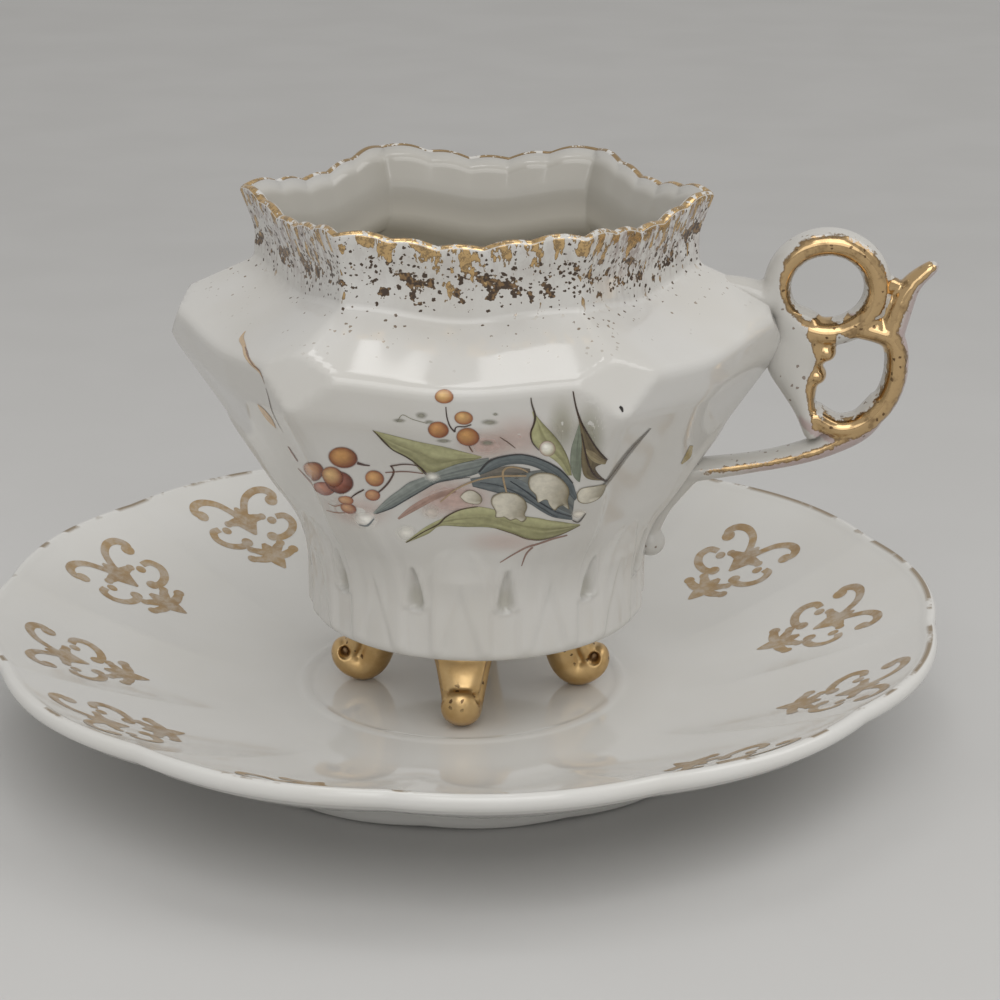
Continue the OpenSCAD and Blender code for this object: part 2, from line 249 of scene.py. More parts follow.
section += [(r, well_z) for r in np.linspace(line_r - 1.2, 0, 14)]
spline = bpy.data.curves.new("saucer_section", "CURVE")
spline.dimensions = "3D"
line = spline.splines.new("POLY")
line.points.add(len(section) - 1)
for point, (r, z) in zip(line.points, section):
    point.co = (r * MM, 0, z * MM, 1)
section_line = bpy.data.objects.new("saucer_section", spline)
bpy.context.scene.collection.objects.link(section_line)
print("Saucer section points", len(section))


# %% [markdown]
# The saucer's edge once had a full gold line. Washing has worn it down to broken dashes, more on the
# left and in front. The line follows the section, whose share each point of the saucer carries, and
# noise breaks it up. The saucer's glaze is painted a little whiter than the cup's, as painted light.

# %% Worn edge line
coat = Finish("edge_line_glaze")
runs = np.cumsum([0] + [math.dist(a, b) for a, b in zip(section, section[1:])])
line_from, line_full, line_thin, line_end = runs[lip_from + 10:lip_from + 14] / runs[-1]
way = coat.value("along")
on_edge = coat.times(coat.ramp(way, line_from, line_full), coat.ramp(way, line_end, line_thin))
faded = coat.ramp(coat.along("Y"), -0.045, 0.01, 0.12, 0.0)
faded = coat.plus(faded, coat.ramp(coat.along("X"), -0.03, 0.0, 0.06, 0.0))
left = coat.ramp(coat.minus(coat.noise(9, 4, 0.65), faded), 0.43, 0.5)
worn = coat.times(on_edge, left)
# The saucer's glaze is painted a little whiter than the cup's, as painted light.
white = coat.blend(0.5, glaze_colour(coat), (0.72, 0.715, 0.69, 1))
coat.set("Base Color", coat.blend(worn, white, (0.30, 0.235, 0.16, 1)))
coat.set("Metallic", coat.ramp(worn, 0, 1, 0.0, 0.3))
coat.set("Roughness", coat.ramp(worn, 0, 1, 0.08, 0.35))
edge_glaze = coat.done()


# %% [markdown]
# A node group for a shape is built in a few lines with this class. It keeps the names of its inputs,
# and at the end it turns the result into a plain mesh.

# %% Node groups
class Nodes(Graph):
    def __init__(self, name):
        self.tree = bpy.data.node_groups.new(name, "GeometryNodeTree")
        self.sockets = {}
        self.start = self.put("NodeGroupInput")

    def ask(self, name, kind, default=None):
        socket = self.tree.interface.new_socket(name, in_out="INPUT", socket_type="NodeSocket" + kind)
        if default is not None:
            socket.default_value = default
        self.sockets[name] = socket.identifier
        return self.start.outputs[name]

    def position(self):
        return self.put("GeometryNodeInputPosition").outputs[0]

    def shape_of(self, source):
        return self.put("GeometryNodeObjectInfo", {"Object": source}).outputs["Geometry"]

    def join(self, x, y, z):
        return self.put("ShaderNodeCombineXYZ", {0: x, 1: y, 2: z}).outputs[0]

    def move(self, operation, inputs):
        return self.put("ShaderNodeVectorMath", inputs, operation=operation).outputs[0]

    def end(self, geometry, material):
        real = self.put("GeometryNodeRealizeInstances", {"Geometry": geometry})
        coat = self.put("GeometryNodeSetMaterial", {"Geometry": real.outputs[0], "Material": material})
        self.tree.interface.new_socket("Geometry", in_out="OUTPUT", socket_type="NodeSocketGeometry")
        finish = self.put("NodeGroupOutput")
        self.tree.links.new(coat.outputs[0], finish.inputs[0])

    def bake(self, name, values):
        holder = bpy.data.objects.new(name, bpy.data.meshes.new(name + "_holder"))
        bpy.context.scene.collection.objects.link(holder)
        modifier = holder.modifiers.new(name, "NODES")
        modifier.node_group = self.tree
        for key, value in values.items():
            modifier[self.sockets[key]] = value
        graph = bpy.context.evaluated_depsgraph_get()
        mesh = bpy.data.meshes.new_from_object(holder.evaluated_get(graph), depsgraph=graph)
        holder.modifiers.clear()
        holder.data = mesh
        mesh.name = name
        return holder


# %% [markdown]
# Twelve lobes draw in the saucer's edge and raise soft ribs between shallow panels. The notches deepen
# all the way to the edge, and the ribs are highest half way up. A flat grid is bent to that: its
# columns go round, its rows follow the section, and a cosine of the turn tells how near a rib is.

# %% Lobed dish
g = Nodes("Lobed dish")
section_in = g.ask("Section", "Object")
columns_in = g.ask("Columns", "Int", 480)
rows_in = g.ask("Rows", "Int", 190)
lobes_in = g.ask("Lobes", "Float", 12.0)
turn_in = g.ask("Turn", "Float", 0.0)
notch_in = g.ask("Notch depth", "Float", 0.0)
rib_in = g.ask("Rib height", "Float", 0.0)
dish_in = g.ask("Dish radius", "Float", 0.0)
edge_in = g.ask("Edge radius", "Float", 0.0)
coat_in = g.ask("Glaze", "Material")
grid_size = {"Size X": 1.0, "Size Y": 1.0, "Vertices X": columns_in, "Vertices Y": rows_in}
grid = g.put("GeometryNodeMeshGrid", grid_size)
across, up, _ = g.split(g.position())
angle = g.times(g.plus(across, 0.5), math.tau)
along = g.minus(0.5, up)
on_section = {"Curves": g.shape_of(section_in), "Factor": along}
sample = g.put("GeometryNodeSampleCurve", on_section, mode="FACTOR", use_all_curves=True)
radius, _, height = g.split(sample.outputs["Position"])
rise = g.ramp(radius, dish_in, edge_in)
half_turn = g.times(g.minus(angle, turn_in), g.calc("DIVIDE", lobes_in, 2.0))
notch = g.minus(1.0, g.calc("ABSOLUTE", g.calc("COSINE", half_turn)))
swell = g.times(4.0, g.times(rise, g.minus(1.0, rise)))
drawn = g.minus(radius, g.times(notch_in, g.times(notch, rise)))
lifted = g.plus(height, g.times(rib_in, g.times(notch, swell)))
spun = g.join(g.times(drawn, g.calc("COSINE", angle)), g.times(drawn, g.calc("SINE", angle)), lifted)
mark = {"Geometry": grid.outputs[0], "Name": "along", "Value": along}
marked = g.put("GeometryNodeStoreNamedAttribute", mark, data_type="FLOAT")
moved = g.put("GeometryNodeSetPosition", {"Geometry": marked.outputs[0], "Position": spun})
closed = g.put("GeometryNodeMergeByDistance", {"Geometry": moved.outputs[0], "Distance": 0.002 * MM})
shaded = g.put("GeometryNodeSetShadeSmooth", {"Geometry": closed.outputs[0]})
g.end(shaded.outputs[0], coat_in)
print("Lobed dish nodes", len(g.tree.nodes))


# %% [markdown]
# The dish is baked with the saucer's own sizes. Its faces are then turned outward, and its volume is
# measured. A closed piece of ware has no open edges, so they are counted too.

# %% Saucer
LOBE_TURN = 11
saucer = g.bake("saucer_dish", {
    "Section": section_line,
    "Columns": 481,
    "Rows": 190,
    "Lobes": 12.0,
    "Turn": math.radians(LOBE_TURN),
    "Notch depth": 0.9 * MM,
    "Rib height": 0.8 * MM,
    "Dish radius": dish_r * MM,
    "Edge radius": edge_r * MM,
    "Glaze": edge_glaze})
bpy.data.objects.remove(section_line)


def turn_outward(piece):
    work = bmesh.new()
    work.from_mesh(piece.data)
    bmesh.ops.recalc_face_normals(work, faces=work.faces)
    if work.calc_volume(signed=True) < 0:
        bmesh.ops.reverse_faces(work, faces=work.faces)
    volume = round(work.calc_volume() * 1e6, 2)
    open_edges = sum(1 for e in work.edges if len(e.link_faces) != 2)
    work.to_mesh(piece.data)
    work.free()
    print(piece.name, "faces", len(piece.data.polygons), "volume cm3", volume, "open edges", open_edges)


turn_outward(saucer)
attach(saucer, "saucer")
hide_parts("saucer")


# %% [markdown]
# Gold scroll motifs were stamped inside the saucer's edge. They could be painted by a material, but a
# brush drawing is easier to write as strokes. So one motif is drawn flat, in millimetres across and
# outward from its pointed tip: curls and leaves on both sides, two spindles in the middle, and round
# ends.

# %% Brush strokes
def curve(points, n):
    p = np.array(points, float)
    p = np.concatenate([p[:1], p, p[-1:]])
    out = []
    for i in range(len(points) - 1):
        a, b, c, d = p[i:i + 4]
        for t in np.arange(n) / n:
            bend = (2 * a - 5 * b + 4 * c - d) * t ** 2 + (3 * b - a - 3 * c + d) * t ** 3
            out.append(0.5 * (2 * b + (c - a) * t + bend))
    return np.array(out + [p[-1]])


def heading_of(path, closed=False):
    flat = path[:, :2]
    if closed:
        t = np.roll(flat, -1, 0) - np.roll(flat, 1, 0)
    else:
        t = np.gradient(flat, axis=0)
    return t / np.linalg.norm(t, axis=1)[:, None]


def stroke(points, widths, n=8):
    line = curve([[*p, w] for p, w in zip(points, widths)], n)
    t = heading_of(line)
    side = np.stack([-t[:, 1], t[:, 0]], 1) * line[:, 2:] / 2
    spots = np.concatenate([line[:, :2] + side, line[:, :2], line[:, :2] - side])
    m = len(line)
    faces = []
    for k in range(2):
        for i in range(m - 1):
            faces.append((k * m + i, k * m + m + i, k * m + m + i + 1, k * m + i + 1))
    return spots, faces


def spot(x, y, r, sides=14):
    a = np.arange(sides) * math.tau / sides
    ring = np.stack([x + r * np.cos(a), y + r * np.sin(a)], 1)
    return np.concatenate([[[x, y]], ring]), [(0, 1 + i, 1 + (i + 1) % sides) for i in range(sides)]


def both_sides(points, widths):
    mirrored = [(-x, y) for x, y in points]
    return [stroke(points, widths), stroke(mirrored, widths)]


def both_ends(x, y, r):
    return [spot(x, y, r), spot(-x, y, r)]


# %% [markdown]
# Two large curls open at the top of the motif and two more below them, with small leaves between. The
# strokes are gathered into one flat mesh, which the node group will copy.

# %% One motif
top_curl = [(0.3, 12.8), (1.0, 14.2), (2.4, 16.0), (4.4, 16.8), (6.1, 16.4), (6.7, 15.2), (5.9, 14.4)]
low_curl = [(4.9, 11.7), (6.2, 11.3), (6.5, 9.8), (5.4, 8.5), (3.6, 8.0), (2.1, 8.4)]
strokes = both_sides(top_curl, [1.4, 1.1, 1.1, 1.15, 1.25, 1.3, 1.0])
strokes += both_sides(low_curl, [1.0, 1.15, 1.2, 1.2, 1.15, 1.1])
strokes += both_sides([(0.3, 5.4), (1.5, 6.4), (2.4, 7.0)], [1.6, 1.4, 1.0])
strokes += both_sides([(0.3, 5.0), (1.8, 4.8), (3.4, 5.2)], [1.7, 1.4, 1.1])
strokes += both_sides([(0.4, 12.4), (1.6, 12.5), (2.9, 12.4)], [2.0, 1.5, 0.9])
strokes += [stroke([(0, 15.0), (0, 13.8), (0, 12.4), (0, 10.9), (0, 9.6)], [0.4, 2.0, 3.6, 2.0, 0.4])]
strokes += [stroke([(0, 7.8), (0, 6.6), (0, 5.0), (0, 3.5), (0, 2.2)], [0.6, 1.9, 2.7, 1.8, 0.3])]
ROUND_ENDS = ((3.9, 11.3, 0.7), (6.0, 14.5, 0.95), (2.2, 8.6, 0.85), (2.5, 7.1, 0.65),
              (3.5, 5.3, 0.75), (2.9, 12.4, 0.6))
for x, y, r in ROUND_ENDS:
    strokes += both_ends(x, y, r)


def gather(shapes):
    points = []
    faces = []
    for p, f in shapes:
        shift = sum(len(q) for q in points)
        faces += [tuple(i + shift for i in face) for face in f]
        points.append(p)
    return np.concatenate(points), faces


flat_spots, flat_faces = gather(strokes)
flat_spots = np.column_stack([flat_spots * [0.96, 1], 0 * flat_spots[:, 0]])
motif = make_piece("flat_motif", flat_spots, flat_faces)
print("Motif faces", len(flat_faces))


# %% [markdown]
# The stamp left matt gold, thinner in some places than in others, so the white shows through. Noise
# makes it thin, and where it is thin it is smoother, because the glaze is.

# %% Stamped gold
coat = Finish("stamped_gold")
thin = coat.ramp(coat.noise(1.8, 4, 0.65), 0.34, 0.70, 0.0, 0.45)
tone = coat.blend(coat.ramp(coat.noise(5), 0.35, 0.65), (0.40, 0.27, 0.13, 1), (0.34, 0.225, 0.11, 1))
coat.set("Base Color", coat.blend(thin, tone, glaze_colour(coat)))
coat.set("Metallic", 0.25)
coat.set("Roughness", coat.ramp(thin, 0, 1, 0.42, 0.25))
stamped = coat.done()


# %% [markdown]
# The motifs were set by hand, one to a lobe, so their places vary a little. Each place is a point, and
# the node group sets a motif on it, facing outward. Every point of the copies then drops on the saucer
# and stands off it by the thickness of the gold.

# %% Twelve motifs
tip_r = np.array([36.3, 36.1, 36.8, 38, 39.3, 38.4, 37.8, 38.5, 38.6, 38.7, 39.2, 40])
tip_turn = np.radians(LOBE_TURN + 30 * np.arange(12) + [0, 0, 0, 0, 0, -1, 1.9, -2, 0, 0, 0, -1.2])
tips = np.stack([tip_r * np.cos(tip_turn), tip_r * np.sin(tip_turn), 0 * tip_r], 1)
places = make_piece("motif_places", tips, [])
g = Nodes("Rim motifs")
motif_in = g.ask("Motif", "Object")
saucer_in = g.ask("Saucer", "Object")
places_in = g.ask("Places", "Object")
lift_in = g.ask("Coat", "Float", 0.0)
coat_in = g.ask("Gold", "Material")
x, y, _ = g.split(g.position())
heading = g.join(0.0, 0.0, g.minus(g.calc("ARCTAN2", y, x), math.pi / 2))
stamp = {"Points": g.shape_of(places_in), "Instance": g.shape_of(motif_in), "Rotation": heading}
copies = g.put("GeometryNodeInstanceOnPoints", stamp)
real = g.put("GeometryNodeRealizeInstances", {"Geometry": copies.outputs[0]})
above = g.move("ADD", {0: g.position(), 1: (0, 0, 0.05)})
throw = {"Source Position": above, "Ray Direction": (0, 0, -1), "Ray Length": 0.2}
ray = g.put("GeometryNodeRaycast", {"Target Geometry": g.shape_of(saucer_in), **throw})
lift = g.move("SCALE", {0: ray.outputs["Hit Normal"], "Scale": lift_in})
landed = g.move("ADD", {0: ray.outputs["Hit Position"], 1: lift})
laid = g.put("GeometryNodeSetPosition", {"Geometry": real.outputs[0], "Position": landed})
g.end(laid.outputs[0], coat_in)
rim_values = {"Motif": motif, "Saucer": saucer, "Places": places, "Coat": 0.03 * MM, "Gold": stamped}
motif_ring = g.bake("gold_motifs", rim_values)
bpy.data.objects.remove(motif)
bpy.data.objects.remove(places)
motif_ring.data.polygons.foreach_set("use_smooth", np.ones(len(motif_ring.data.polygons), bool))
print("Gold motif faces", len(motif_ring.data.polygons))
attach(motif_ring, "saucer")


# %% [markdown]
# The cup is cast in a mould. Its section has a round base, panels that lean out to a ridge, a shoulder
# that falls back to a crease, a short neck and a flared rim. The section is written as corners, each
# with its own radius, and cut finely over the base, where the moulded leaves are.

# %% Cup section
cup_x = 1.9
cup_y = -1.1
base_z = 16.35
base_r = 21.1
waist_z = 26.95
brow_z = 50.65
ridge_z = 55.65
crease_z = 61.05
crease_r = 27.2
neck_z = 64.75
neck_r = 27.0
rim_z = 70.4
rim_r = 28.7
cup_wall = 2.0
floor_z = 18.95


def corner_arc(a, b, c, rad):
    u = (a - b) / np.linalg.norm(a - b)
    w = (c - b) / np.linalg.norm(c - b)
    half = math.acos(np.clip(u @ w, -1, 1)) / 2
    middle = b + (u + w) / np.linalg.norm(u + w) * rad / math.sin(half)
    start = b + u * rad / math.tan(half) - middle
    sweep = (math.pi - 2 * half) * (-1 if u[0] * w[1] - u[1] * w[0] > 0 else 1)
    steps = max(6, int(abs(sweep) * rad / 0.7))
    turns = math.atan2(start[1], start[0]) + sweep * np.arange(steps + 1) / steps
    return [middle + rad * np.array([math.cos(t), math.sin(t)]) for t in turns]


def rounded_path(corners, step_at):
    spots = [np.array(c[:2], float) for c in corners]
    path = [spots[0]]
    for i in range(1, len(spots) - 1):
        path += corner_arc(spots[i - 1], spots[i], spots[i + 1], corners[i][2])
    path.append(spots[-1])
    fine = [path[0]]
    for p, q in zip(path, path[1:]):
        cuts = max(1, round(np.linalg.norm(q - p) / step_at(p[1])))
        fine += [mix(p, q, k / cuts) for k in range(1, cuts + 1)]
    return np.array(fine)


brow_r = 37.5
ridge_r = brow_r + 1.4
cup_corners = [(0.5, base_z), (base_r, base_z, 1.7), (base_r, waist_z, 12), (brow_r, brow_z, 8)]
cup_corners += [(ridge_r, ridge_z, 1.5), (crease_r, crease_z, 1.3), (neck_r, neck_z, 6)]
cup_corners += [(rim_r, rim_z - cup_wall / 3)]
FINE_FROM = [base_z + 0.1, base_z + 0.2, 32, 34]
FINE_STEP = [4, 0.36, 0.36, 1.0]
cup_path = rounded_path(cup_corners, lambda z: np.interp(z, FINE_FROM, FINE_STEP))
inside_path = rounded_path(cup_corners, lambda z: 2.2)
print("Cup section points", len(cup_path), "widest", round(cup_path[:, 0].max(), 2))


# %% [markdown]
# The base is a circle and the rim a hexagon. A loft between the two would do, but it gives no say over
# the corners. So each ring works out its own hexagon with rounded corners: the rounding is the whole
# radius below and shrinks on the way up. The corners at the ridge are cut flat, the panels sag a
# little, and the rim is scalloped. Columns stand closer together near the corners.

# %% Cup rings
PANEL_ROUND = 2.4
NECK_ROUND = 1.0
near_corner = np.arange(-5, 5, 0.5)
panel_turns = np.arange(5, 55, 0.95)
cup_turns = np.concatenate([60 * k + np.concatenate([near_corner, panel_turns]) for k in range(6)])


def corner_round(r, z):
    t = np.clip((z - waist_z) / (ridge_z - waist_z), 0, 1)
    if z <= waist_z:
        return r
    if z <= ridge_z:
        return PANEL_ROUND + (r - PANEL_ROUND) * (1 - t) ** 4
    return mix(PANEL_ROUND, NECK_ROUND, min(1, (z - ridge_z) / (crease_z - ridge_z)))


def flat_at(z):
    return ridge_r - 2.9 + 0.4 * (ridge_z - z)


def hexagon_r(r, rad, a):
    c = r - rad
    a = np.radians(a)
    half = math.pi / 6
    tangent = math.atan2(rad * math.sin(half), c + rad * math.cos(half))
    rounded = c * np.cos(a) + np.sqrt(np.maximum(0, rad * rad - (c * np.sin(a)) ** 2))
    return np.where(a < tangent, rounded, (c * math.cos(half) + rad) / np.cos(half - a))


def from_corner(a):
    return np.abs((a + 30) % 60 - 30)


def side_drop(a, z):
    sag = smooth((z - waist_z) / (ridge_z - waist_z)) * (1 - np.cos(np.radians(6 * from_corner(a)))) / 2
    scallop = smooth((z - neck_z) / (rim_z - neck_z)) * (1 - np.abs(np.sin(np.radians(15 * a))))
    return 1.5 * sag + 0.45 * scallop


def cup_ring(r, z, depth=0.0, grow=0.0):
    rad = max(0.5, corner_round(r + depth, z) - depth)
    turn = from_corner(cup_turns)
    flat = (flat_at(z) - depth) / np.cos(np.radians(turn))
    rr = np.minimum(hexagon_r(r, rad, turn), flat) + grow
    a = np.radians(cup_turns)
    return np.stack([cup_x + rr * np.cos(a), cup_y + rr * np.sin(a), z - side_drop(cup_turns, z)], 1)


print("Cup columns", len(cup_turns))


# %% [markdown]
# The base carries twelve moulded leaves. Each has a raised tongue with a spear below, and a teardrop
# hollow lies between neighbours. They are pressed from the same mould as the body, so they aren't
# pieces of their own: they push each ring of the cup in and out. The lower ends of the hollows are
# darker, partly from glaze that pools there and partly as painted shade.

# %% Base leaves
LEAF_TURN = 13.6
tear_z = 23.9
tear_up = 4.8
tear_down = 1.05
tear_half = 0.95
half_pitch = 5.52
arch_z = 23.7
tall_top = 42.0
short_top = 32.0


def teardrop(a, z):
    side = ((a - LEAF_TURN + 15) % 30 - 15) * math.radians(1) * base_r
    if z > tear_z:
        long = (z - tear_z) / tear_up
        width = tear_half * max(0.0, 1 - long) ** 0.7
    else:
        long = (z - tear_z) / tear_down
        width = tear_half * math.sqrt(max(0.0, 1 - long * long))
    return np.abs(side), width, long


def leaf_relief(a, z):
    side, width, long = teardrop(a, z)
    tongue = half_pitch - side
    corner = np.round((a - LEAF_TURN + 15) / 30) % 2 == 0
    top = np.where(corner, tall_top, short_top)
    half = np.where(corner, 3.6, 3.3)
    arch = half * np.sqrt(np.clip(1 - (max(z, arch_z) - arch_z) ** 2 / (top - arch_z) ** 2, 0, 1))
    raised = 0.4 * smooth((arch - tongue) / 1.8 + 0.5) * smooth((top - z) / 3)
    raised = raised + 0.22 * np.exp(-((arch - tongue) / 0.5) ** 2) * smooth((top - z) / 1.5)
    flute = 0.1 * np.exp(-((tongue - 0.5 * arch) / 0.6) ** 2) * smooth((top - z) / 6)
    spear = 0.3 * smooth((2.6 * (26.0 - z) / 9 - tongue) / 1.0 + 0.5)
    rim = 0.32 * np.exp(-((side - width - 0.4) / 0.4) ** 2) * smooth((1.5 - abs(long)) / 0.8)
    hollow = 0.75 * smooth((width - side) / 0.6 + 0.4) * (width > 0)
    return smooth((z - 16.7) / 1.5) * (raised - flute - spear + rim - hollow - 0.3 * smooth((34 - z) / 5))


# Lower end of each hollow, darkened partly as pooled glaze and partly as painted shade.
def pooled_glaze_and_shade(a, z):
    side, width, _ = teardrop(a, z)
    return smooth((width - side) / 0.6 + 0.3) * (width > 0) * smooth((26.6 - z) / 1.8)


print("Deepest hollow in mm", round(-min(leaf_relief(cup_turns, z).min() for _, z in cup_path), 2))


# %% [markdown]
# Gold was dabbed on the neck with a sponge, thick at the rim and thinning to brown specks over the
# shoulder. The rim itself has a brushed gold line. Both follow the distance below the rim, which each
# point of the cup carries. The dabs are noise over a limit, and the specks are flecks whose chance
# changes on the way down.

# %% Sponged gold
coat = Finish("gold_sponged_glaze")
drop = coat.value("below_rim")
outer = coat.ramp(drop, -0.4, 0.0)
side_way = coat.calc("ABSOLUTE", coat.minus(coat.along("X"), cup_x * MM))
on_sides = coat.ramp(side_way, 0.013, 0.019)
cloud = coat.times(coat.minus(coat.noise(9, 1), 0.5), 0.22)


def dabs(size, tall, limit):
    field = coat.plus(coat.noise(size, 3, 0.55, (1, 1, 1 / tall)), cloud)
    over = coat.minus(field, limit)
    near_rim = coat.times(outer, coat.ramp(drop, 10, 8))
    return coat.times(coat.ramp(over, 0.0, 0.012), near_rim), over


gold_dab, over = dabs(1.2, 2.6, coat.ramp(drop, 0.0, 7, 0.5, 0.66))
dab_edge = coat.ramp(over, 0.05, 0.015)
low_band = coat.plus(coat.ramp(drop, 2.5, 4.5, 0.12, 0.0), coat.ramp(drop, 6.5, 9, 0.0, 0.2))
brown_dab, over = dabs(1.7, 1.0, coat.plus(low_band, 0.55))
ochre = coat.ramp(coat.noise(0.5, 2), 0.42, 0.6)
brown_heart = coat.times(coat.ramp(over, 0.01, 0.035), ochre)
near, chance = coat.flecks(0.55)
gate = coat.plus(coat.ramp(drop, 0.5, 4, 0.6, 0.12), coat.ramp(drop, 6, 9.5, 0.0, 0.8))
gate = coat.minus(gate, cloud)
corner = coat.value("corner")
gate = coat.minus(gate, coat.times(corner, 0.25))
speck = coat.ramp(coat.minus(coat.ramp(chance, gate, 1.0, 0.0, 0.42), near), 0.0, 0.05)
near, chance = coat.flecks(1.0, 2.0)
gate = coat.plus(coat.ramp(drop, 2, 4.5, 0.9, 0.35), coat.ramp(drop, 6.5, 9, 0.0, 0.65))
blot = coat.ramp(coat.minus(coat.ramp(chance, gate, 1.0, 0.0, 0.42), near), 0.0, 0.05)
speck = coat.most(speck, blot)
speck = coat.times(speck, coat.times(outer, coat.ramp(drop, 14, 9)))
line = coat.times(coat.ramp(drop, -0.3, -0.7), coat.ramp(drop, -3.0, -2.6))
line = coat.times(line, coat.ramp(coat.noise(1.6, 4, 0.65), 0.43, 0.47))
bright = coat.most(gold_dab, line)
dark = coat.most(brown_dab, speck)


# %% [markdown]
# Thick gold shines, thin gold is brown and dull, and a brown haze lies over the sides of the neck. The
# gold is painted darker and duller towards the back, as shade. Inside the cup the glaze is painted
# darker near the rim, as shade, and lighter below, as painted light.

# %% Gold on the neck
GOLD_PALE = (0.68, 0.47, 0.23, 1)
gold = coat.most(bright, dark)
worn = coat.ramp(coat.noise(0.6, 4, 0.65), 0.46, 0.6, 0.0, 0.85)
shade = coat.most(worn, coat.times(dab_edge, coat.minus(1.0, line)))
shade = coat.most(coat.times(shade, 0.7), coat.minus(dark, bright))
# Towards the back the gold is painted darker and duller, as shade.
shade = coat.most(shade, coat.ramp(coat.along("Y"), 0.008, 0.018, 0.0, 0.55))
ochre_heart = coat.times(brown_heart, brown_dab)
dark_tone = coat.blend(ochre_heart, (0.075, 0.052, 0.038, 1), (0.27, 0.17, 0.085, 1))
gold_tone = coat.blend(shade, GOLD_PALE, dark_tone)
# The hollows of the base are darker: partly pooled glaze, partly painted shade.
pool_and_shade = coat.times(coat.value("pool_and_shade"), 0.55)
bare = coat.blend(pool_and_shade, glaze_colour(coat), (0.40, 0.385, 0.32, 1))
# Inside, the glaze is painted darker just below the rim, as shade, and lighter deeper down, as painted
# light.
bare = coat.blend(coat.ramp(drop, -3.0, -6.0, 0.0, 0.85), bare, (0.40, 0.38, 0.335, 1))
bare = coat.blend(coat.ramp(drop, -8.0, -13.0, 0.0, 0.9), bare, (0.66, 0.63, 0.56, 1))
streak = coat.ramp(coat.noise(0.9, 4, 0.7, (1, 1, 0.35)), 0.44, 0.6)
haze = coat.times(streak, coat.ramp(drop, 11, 2, 0.0, 0.85))
haze = coat.times(haze, coat.ramp(on_sides, 0, 1, 0.2, 1.0))
bare = coat.blend(coat.times(haze, outer), bare, (0.30, 0.24, 0.22, 1))
coat.set("Base Color", coat.blend(gold, bare, gold_tone))
coat.set("Metallic", coat.times(gold, coat.ramp(shade, 0, 1, 1.0, 0.4)))
coat.set("Roughness", coat.ramp(gold, 0, 1, 0.08, 0.22))
sponged = coat.done()


# %% [markdown]
# The skin of the cup is one stack of rings: up the outside, over the round lip, down the inside and
# across the floor. A Solidify modifier could give the wall, but it would carry the leaves of the base
# through to the inside. So the inside follows the plain section, set back by the wall.

# %% Cup body
step = np.gradient(inside_path, axis=0)
normals = np.stack([step[:, 1], -step[:, 0]], 1) / np.linalg.norm(step, axis=1)[:, None]
rings = [cup_ring(r, z, grow=leaf_relief(cup_turns, z)) for r, z in cup_path]
below_rim = [rim_z - z for r, z in cup_path]
lip_half = 0.65


def round_turn(degrees):
    return math.cos(math.radians(degrees)), math.sin(math.radians(degrees))


for turn in (30, 60, 90, 120, 150):
    c, s = round_turn(turn)
    rings.append(cup_ring(rim_r - lip_half + lip_half * c, rim_z - 2 / 3 + s * lip_half, lip_half * (1 - c)))
    below_rim.append(-0.02 * turn)
for (r, z), (nr, nz) in list(zip(inside_path, normals))[::-1]:
    if z > base_z + 4.5:
        wall = mix(2 * lip_half, cup_wall, smooth((rim_z - z) / 9))
        rings.append(cup_ring(r - wall * nr, z - wall * nz, wall))
        below_rim.append(z - rim_z - 3)
inner_r = base_r - cup_wall
floor_round = 1.7
FAR_BELOW = -50
for turn in (20, 45, 70, 90):
    c, s = round_turn(turn)
    rings.append(cup_ring(inner_r - floor_round * (1 - c), floor_z + floor_round * (1 - s), cup_wall))
    below_rim.append(FAR_BELOW)
rings.append(cup_ring(0.5, floor_z, cup_wall))
below_rim.append(FAR_BELOW)
n = len(cup_turns)


def grid_faces(rows, columns, around=False, joined=False):
    faces = []
    for j in range(rows if joined else rows - 1):
        low = j * columns
        high = (j + 1) % rows * columns
        for i in range(columns if around else columns - 1):
            k = (i + 1) % columns
            faces.append((low + i, low + k, high + k, high + i))
    return faces


def end_caps(rows, columns):
    return [tuple(range(columns))[::-1], tuple((rows - 1) * columns + i for i in range(columns))]


cup_faces = grid_faces(len(rings), n, around=True) + end_caps(len(rings), n)
cup_body = make_piece("cup_wall", np.concatenate(rings), cup_faces, sponged)
add_values(cup_body, "below_rim", np.repeat(below_rim, n))
add_values(cup_body, "corner", np.tile(np.exp(-(from_corner(cup_turns) / 7) ** 2), len(rings)))
pools_and_shade = [pooled_glaze_and_shade(cup_turns, z) if z < 30 else 0 * cup_turns for r, z in cup_path]
pools_and_shade += [0 * cup_turns] * (len(rings) - len(cup_path))
add_values(cup_body, "pool_and_shade", np.concatenate(pools_and_shade))
turn_outward(cup_body)
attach(cup_body, "cup")
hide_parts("cup_body")


# %% [markdown]
# A spray of leaves, berries and white bells was printed in soft enamel on the front panel and touched
# up by hand. The enamel takes its colour and its cover from each point of the paint, and mottles it a
# little.

# %% Enamel
coat = Finish("enamel_print")
paint = coat.put("ShaderNodeAttribute", attribute_name="paint")
mottle = coat.ramp(coat.noise(0.8, 3, 0.6), 0.3, 0.7, 0.9, 1.1)
mottled = coat.put("ShaderNodeVectorMath", {0: paint.outputs["Color"], "Scale": mottle}, operation="SCALE")
coat.set("Base Color", mottled.outputs[0])
coat.set("Alpha", paint.outputs["Alpha"])
coat.set("Roughness", 0.12)
enamel = coat.done()


# %% [markdown]
# Each leaf, berry and bell is a thin patch, drawn in millimetres across the panel and up from the
# table. Its points carry a colour and how much it covers. A patch also has a layer, because one stroke
# lies over another, and a panel, given by the way it faces. Colours are mixed as they look to the eye
# and turned into light.

# %% Patches of paint
PAINT_GAIN = 1.02
patches = []


def tint(r, g, b):
    c = np.array([r, g, b]) / 255
    return np.where(c > 0.04045, ((c + 0.055) / 1.055) ** 2.4, c / 12.92) * PAINT_GAIN


